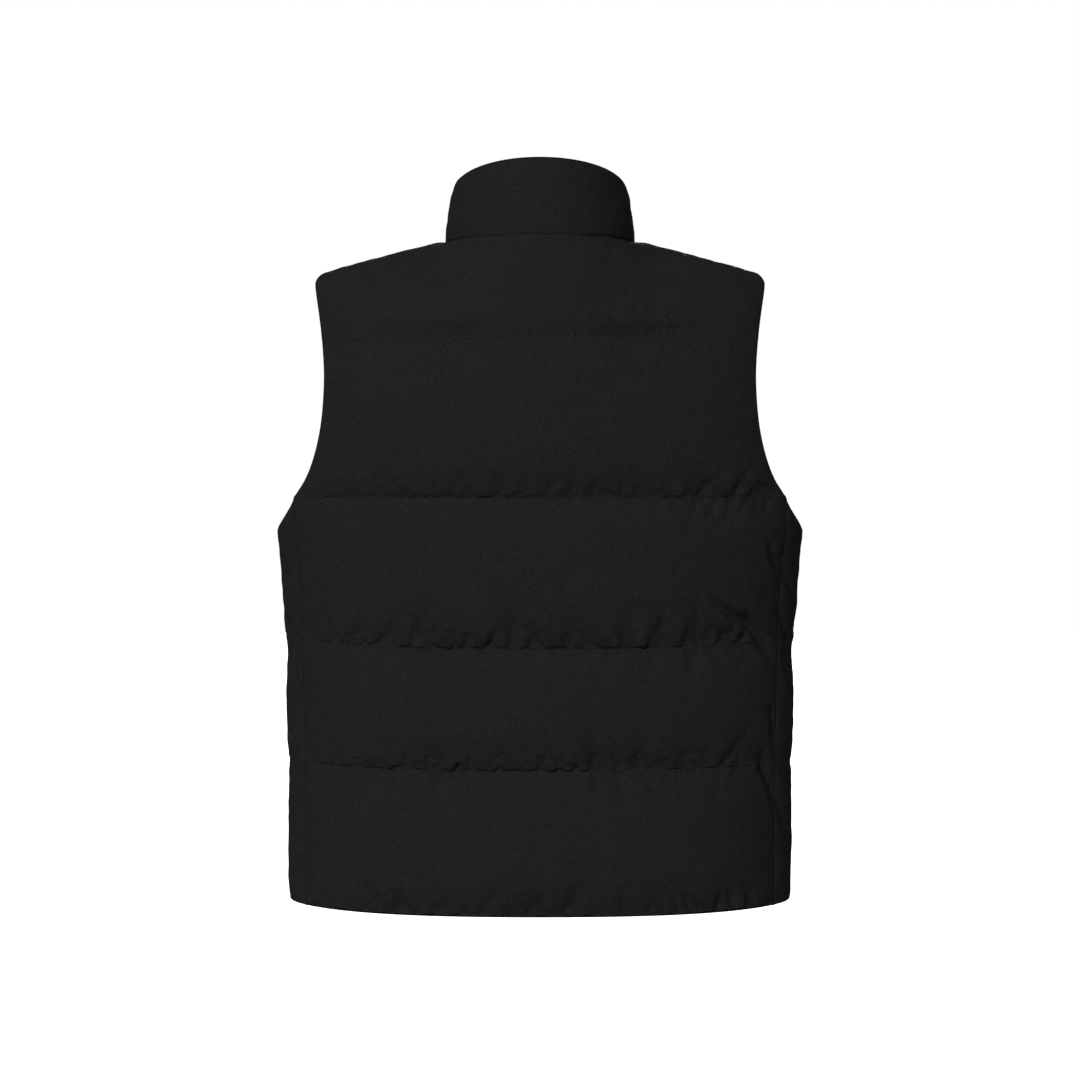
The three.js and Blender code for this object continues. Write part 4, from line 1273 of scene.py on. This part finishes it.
# Geometry Nodes that set a small piece along every path of a mesh of edges: a stitch of thread, or a
# tooth, which is an object of its own.
def alongPaths(name, usesTooth):
    group = bpy.data.node_groups.new(name, "GeometryNodeTree")
    group.interface.new_socket("Geometry", in_out="OUTPUT", socket_type="NodeSocketGeometry")
    for label, kind in (
        ("Geometry", "Geometry"), ("Pitch", "Float"), ("Size", "Vector"), ("Unevenness", "Float"),
        ("Seed", "Int"), ("Material", "Material"), ("Tooth", "Object"),
    ):
        group.interface.new_socket(label, in_out="INPUT", socket_type="NodeSocket" + kind)
    tree = Wire(group)
    given = tree.node("NodeGroupInput")
    curve = tree.node("GeometryNodeMeshToCurve", {}, {"Mesh": given})
    spaced = {"Curve": curve, "Length": given.other("Pitch")}
    points = tree.node("GeometryNodeResampleCurve", {"mode": "LENGTH"}, spaced)
    aim, outwards = "FunctionNodeAlignRotationToVector", {"axis": "Z", "pivot_axis": "X"}
    tangent = tree.node("GeometryNodeInputTangent")
    if usesTooth:
        turned = tree.node(aim, outwards, {"Vector": tangent})
        shape = {"Object": given.other("Tooth")}
        form = tree.node("GeometryNodeObjectInfo", {"transform_space": "ORIGINAL"}, shape, "Geometry")
    else:
        turned = tree.node(aim, {"axis": "X"}, {"Vector": tangent})
        stored = {"data_type": "FLOAT_VECTOR"}
        facing = tree.node("GeometryNodeInputNamedAttribute", stored, {"Name": "seamOut"})
        turned = tree.node(aim, outwards, {"Rotation": turned, "Vector": facing})
        form = tree.node("GeometryNodeMeshUVSphere", {}, {"Segments": 6, "Rings": 4, "Radius": 0.5})
    uneven = given.other("Unevenness")
    limits = {2: 1 - uneven, 3: 1 + uneven, "Seed": given.other("Seed")}
    chance = tree.node("FunctionNodeRandomValue", {"data_type": "FLOAT"}, limits, 1)
    scaled = {0: given.other("Size"), "Scale": chance}
    size = tree.node("ShaderNodeVectorMath", {"operation": "SCALE"}, scaled)
    placed = tree.node("GeometryNodeInstanceOnPoints", {}, {
        "Points": points, "Instance": form, "Rotation": turned, "Scale": size,
    })
    real = tree.node("GeometryNodeRealizeInstances", {}, {"Geometry": placed})
    shading = {"Geometry": real, "Shade Smooth": not usesTooth}
    smooth = tree.node("GeometryNodeSetShadeSmooth", {}, shading)
    clad = {"Geometry": smooth, "Material": given.other("Material")}
    finished = tree.node("GeometryNodeSetMaterial", {}, clad)
    tree.node("NodeGroupOutput", {}, {0: finished})
    return group


# Makes one plain mesh of the small pieces that a tree sets along the paths.
def laidAlong(name, group, paths, inputs):
    points, edges, facing = [], [], []
    for path, normals in paths:
        first = len(points)
        points += [tuple(p) for p in path]
        facing += [tuple(n) for n in normals]
        edges += [(first + k, first + k + 1) for k in range(len(path) - 1)]
    mesh = bpy.data.meshes.new(name + "_path")
    mesh.from_pydata(points, edges, [])
    stored = mesh.attributes.new("seamOut", "FLOAT_VECTOR", "POINT")
    stored.data.foreach_set("vector", np.array(facing).ravel())
    holder = bpy.data.objects.new(name + "_path", mesh)
    bpy.context.scene.collection.objects.link(holder)
    modifier = holder.modifiers.new(name, "NODES")
    modifier.node_group = group
    for socket in group.interface.items_tree:
        if socket.in_out == "INPUT" and socket.name in inputs:
            modifier[socket.identifier] = inputs[socket.name]
    graph = bpy.context.evaluated_depsgraph_get()
    made = bpy.data.meshes.new_from_object(holder.evaluated_get(graph))
    made.name = name
    bpy.data.objects.remove(holder)
    if "seamOut" in made.attributes:
        made.attributes.remove(made.attributes["seamOut"])
    piece = bpy.data.objects.new(name, made)
    bpy.context.scene.collection.objects.link(piece)
    print(name, len(made.polygons), "faces")
    return piece


sewing = {
    "pitch": 0.0036,
    "size": (0.0026, 0.00055, 0.00045),
    "unevenness": 0.12,
    "lift": 0.0001,
    "fromEdge": 0.004,
    "collarHeight": 0.005,       # of the one line on the collar, above its seam
    "seed": 5,
}

stitchTree = alongPaths("stitches", False)


# The lines of stitching that cross a panel, each a path on the cloth with its directions.
def seamPaths(shaped):
    fine, face = shaped["fine"], shaped["fine"]["face"]
    outside, out, around = shaped["outside"], shaped["out"], shaped["around"]
    used = edgesOf(cellsOf(fine))["used"]
    paths = []
    if face == "collar":
        levels = [int(np.argmin(np.abs(fine["rows"] * collar["length"] - sewing["collarHeight"])))]
    else:
        levels = [int(np.argmin(np.abs(fine["rows"] - line))) for line in range(1, topRow)]
    for level in levels:
        kept = used[level] & (around[level] > around[level][used[level]].min() + sewing["fromEdge"])
        kept &= around[level] < around[level][used[level]].max() - sewing["fromEdge"]
        path = outside[level][kept] + out[level][kept] * sewing["lift"]
        paths.append((path, out[level][kept]))
    return paths


zipTeeth = {
    "pitch": 0.0026,
    "inner": -0.0007,            # how far a tooth reaches past the centre plane
    "thickness": 0.0023,
    "height": 0.00118,
    "bevel": 0.00025,
    "headSlim": 0.7,             # the height of a tooth's outer end, of that of its head
    "bottom": 0.0096,
    "top": 0.6548,
}


# Points across the zip, from the hem to the top of the collar, at a distance from its centre.
def zipLine(x, behind):
    shoulder = body["shoulderHalfWidth"]
    sideShare = ringShare(edgeAngle("front"))
    near, far = zipForm["edge"], zipForm["measured"]
    rows = panelRows("front")[:-1]
    angles = [ringAngle(value / shoulder * sideShare) for value in (near, far)]
    lower = [insidePoint("front", rows, angle) for angle in angles]
    out = outward("front", rows, angles[0])
    rises = np.linspace(0, 1, zipForm["collarRows"])
    angles = [math.degrees(math.asin(value / neck["halfWidth"])) for value in (near, far)]
    upper = [collarPoint(rises, angle) for angle in angles]
    out = np.concatenate([out, np.zeros((len(rises), 3)) + [0, -1, 0]])
    out[:, 0] = 0
    first, second = np.concatenate([lower[0], upper[0]]), np.concatenate([lower[1], upper[1]])
    share = (x - first[:, :1]) / (second[:, :1] - first[:, :1])
    return mix(first, second, share) - unit(out) * behind


def makeTape(name, side):
    across = zipForm["tapeColumns"]
    front, back = zipForm["seamGap"], zipForm["seamGap"] + zipForm["tapeThickness"]
    sheets = [np.stack([zipLine(x, behind) for x in across], 1) for behind in (front, back)]
    place = np.array([side, 1, 1])
    points = np.concatenate([(s * place - [0, 0, body["originHeight"]]).reshape(-1, 3) for s in sheets])
    rows, columns = sheets[0].shape[:2]
    number = np.arange(rows * columns).reshape(rows, columns)
    quads = cornersOf(number).reshape(-1, 4)
    faces = quads.tolist() + (quads[:, ::-1] + rows * columns).tolist()
    rim = list(number[0]) + list(number[1:, -1]) + list(number[-1, -2::-1]) + list(number[-2:0:-1, 0])
    for k, start in enumerate(rim):
        end = rim[(k + 1) % len(rim)]
        faces.append([int(end), int(start), int(start + rows * columns), int(end + rows * columns)])
    if side < 0:
        faces = [face[::-1] for face in faces]
    tape = meshObject(name, points, faces, tapeMaterial)
    along = travelled(sheets[0][:, 3])
    layOut(tape, np.tile(np.stack(np.meshgrid(across, along), -1).reshape(-1, 2), (2, 1)))
    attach(tape, "vest")
    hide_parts(name.replace("_cloth", ""))
    return float(along[-1])


# One moulded tooth, whose head crosses the centre plane.
def makeTooth(side):
    outer, inner = zipForm["chainHalfWidth"], zipTeeth["inner"]
    half = Vector((outer - inner, zipTeeth["thickness"], zipTeeth["height"])) / 2
    middle = (outer + inner) / 2
    shape = bmesh.new()
    bmesh.ops.create_cube(shape, size=2)
    for vertex in shape.verts:
        slim = zipTeeth["headSlim"] if vertex.co.x > 0 else 1
        vertex.co = Vector((
            side * (middle + vertex.co.x * half.x), vertex.co.y * half.y, vertex.co.z * half.z * slim
        ))
    bmesh.ops.bevel(shape, geom=shape.edges[:], offset=zipTeeth["bevel"], segments=1, affect="EDGES")
    bmesh.ops.recalc_face_normals(shape, faces=shape.faces[:])
    mesh = bpy.data.meshes.new("tooth")
    shape.to_mesh(mesh)
    shape.free()
    return bpy.data.objects.new("tooth", mesh)


for panel, move in zip(panels, moves):
    wall, shaped = makeWall(panel, move, clothMaterial)
    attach(wall, "vest")
    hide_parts(panel["name"].replace("_shell", ""))
    stitches = laidAlong(panel["name"].replace("shell", "stitches"), stitchTree, seamPaths(shaped), {
        "Pitch": sewing["pitch"], "Size": sewing["size"], "Unevenness": sewing["unevenness"],
        "Seed": sewing["seed"], "Material": threadMaterial,
    })
    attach(stitches, "vest")
print("cloth sewn")

for side in (1, -1):
    name = "zip_tape_left" if side > 0 else "zip_tape_right"
    print(name, "length", round(makeTape(name + "_cloth", side), 4))

toothTree = alongPaths("teeth", True)
centre = zipLine(zipForm["tapeColumns"][1], zipForm["seamGap"] + zipForm["tapeThickness"] / 2)
for side, offset in ((1, 0), (-1, zipTeeth["pitch"] / 2)):
    heights = np.arange(zipTeeth["bottom"] + offset, zipTeeth["top"], zipTeeth["pitch"] / 2)
    if len(heights) % 2 == 0:
        heights = heights[:-1]
    depths = np.interp(heights, centre[:, 2], centre[:, 1])
    path = np.stack([0 * heights, depths, heights - body["originHeight"]], -1)
    tooth = makeTooth(side)
    name = "zip_teeth_left" if side > 0 else "zip_teeth_right"
    teeth = laidAlong(name, toothTree, [(path, 0 * path)], {
        "Pitch": zipTeeth["pitch"], "Size": (1, 1, 1), "Unevenness": 0.0, "Seed": 0,
        "Material": plasticMaterial, "Tooth": tooth,
    })
    bpy.data.objects.remove(tooth)
    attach(teeth, "vest")
    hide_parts("zip_chain")
print("zip made")

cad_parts["zip_box"].data.materials.clear()
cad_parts["zip_box"].data.materials.append(plasticMaterial)
for name in ("zip_slider", "zip_pull"):
    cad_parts[name].data.materials.clear()
    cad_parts[name].data.materials.append(metalMaterial)

studio = {
    "cameraDistance": 2.5,
    "cameraHeight": -0.280,
    "frameWidth": 1.08,          # what the picture takes in at the origin's depth
    "sensor": 36,
    "floorDrop": 0.9,
    "floorReach": 30,
    "backdrop": 1.0,             # how bright the world is to the camera, and to the cloth
    "surroundings": 0.28,
    "floorGlow": 0.85,
    "suns": [                    # the direction the light comes from, its strength and its softness
        {"name": "keyLight", "from": (0.45, 1.0, 0.56), "strength": 2.8, "angle": 24},
        {"name": "frontLight", "from": (0, -1.0, 0.22), "strength": 2.5, "angle": 20},
    ],
}


def makeStudio():
    camera = bpy.data.cameras.new("camera")
    camera.sensor_width = studio["sensor"]
    camera.lens = studio["sensor"] * studio["cameraDistance"] / studio["frameWidth"]
    holder = bpy.data.objects.new("camera", camera)
    holder.location = (0, studio["cameraDistance"], studio["cameraHeight"])
    holder.rotation_euler = (math.radians(90), 0, math.radians(180))
    bpy.context.scene.collection.objects.link(holder)
    bpy.context.scene.camera = holder

    world = bpy.data.worlds.new("studio")
    world.use_nodes = True
    sky = world.node_tree.nodes["Background"]
    seen = Wire(world.node_tree).node("ShaderNodeLightPath", output="Is Camera Ray")
    bright = seen * (studio["backdrop"] - studio["surroundings"]) + studio["surroundings"]
    world.node_tree.links.new(bright.socket, sky.inputs[1])
    sky.inputs[0].default_value = (1, 1, 1, 1)
    bpy.context.scene.world = world

    pale, tree = newMaterial("pale_floor")
    shade(tree, {
        "Base Color": (0.9, 0.9, 0.9, 1), "Roughness": 0.9,
        "Emission Color": (1, 1, 1, 1), "Emission Strength": studio["floorGlow"],
    })
    z = cadBox[0].z - studio["floorDrop"]
    reach = studio["floorReach"]
    corners = [(-reach, -reach, z), (reach, -reach, z), (reach, reach, z), (-reach, reach, z)]
    floor = meshObject("floor", corners, [[0, 1, 2, 3]], pale, False)
    floor.visible_diffuse = floor.visible_glossy = False     # it doesn't light the cloth from below

    for sun in studio["suns"]:
        light = bpy.data.lights.new(sun["name"], "SUN")
        light.energy, light.angle = sun["strength"], math.radians(sun["angle"])
        lamp = bpy.data.objects.new(sun["name"], light)
        lamp.rotation_euler = (-Vector(sun["from"])).to_track_quat("-Z", "Y").to_euler()
        bpy.context.scene.collection.objects.link(lamp)
    bpy.context.scene.view_settings.view_transform = "Standard"


makeStudio()
print("studio made")
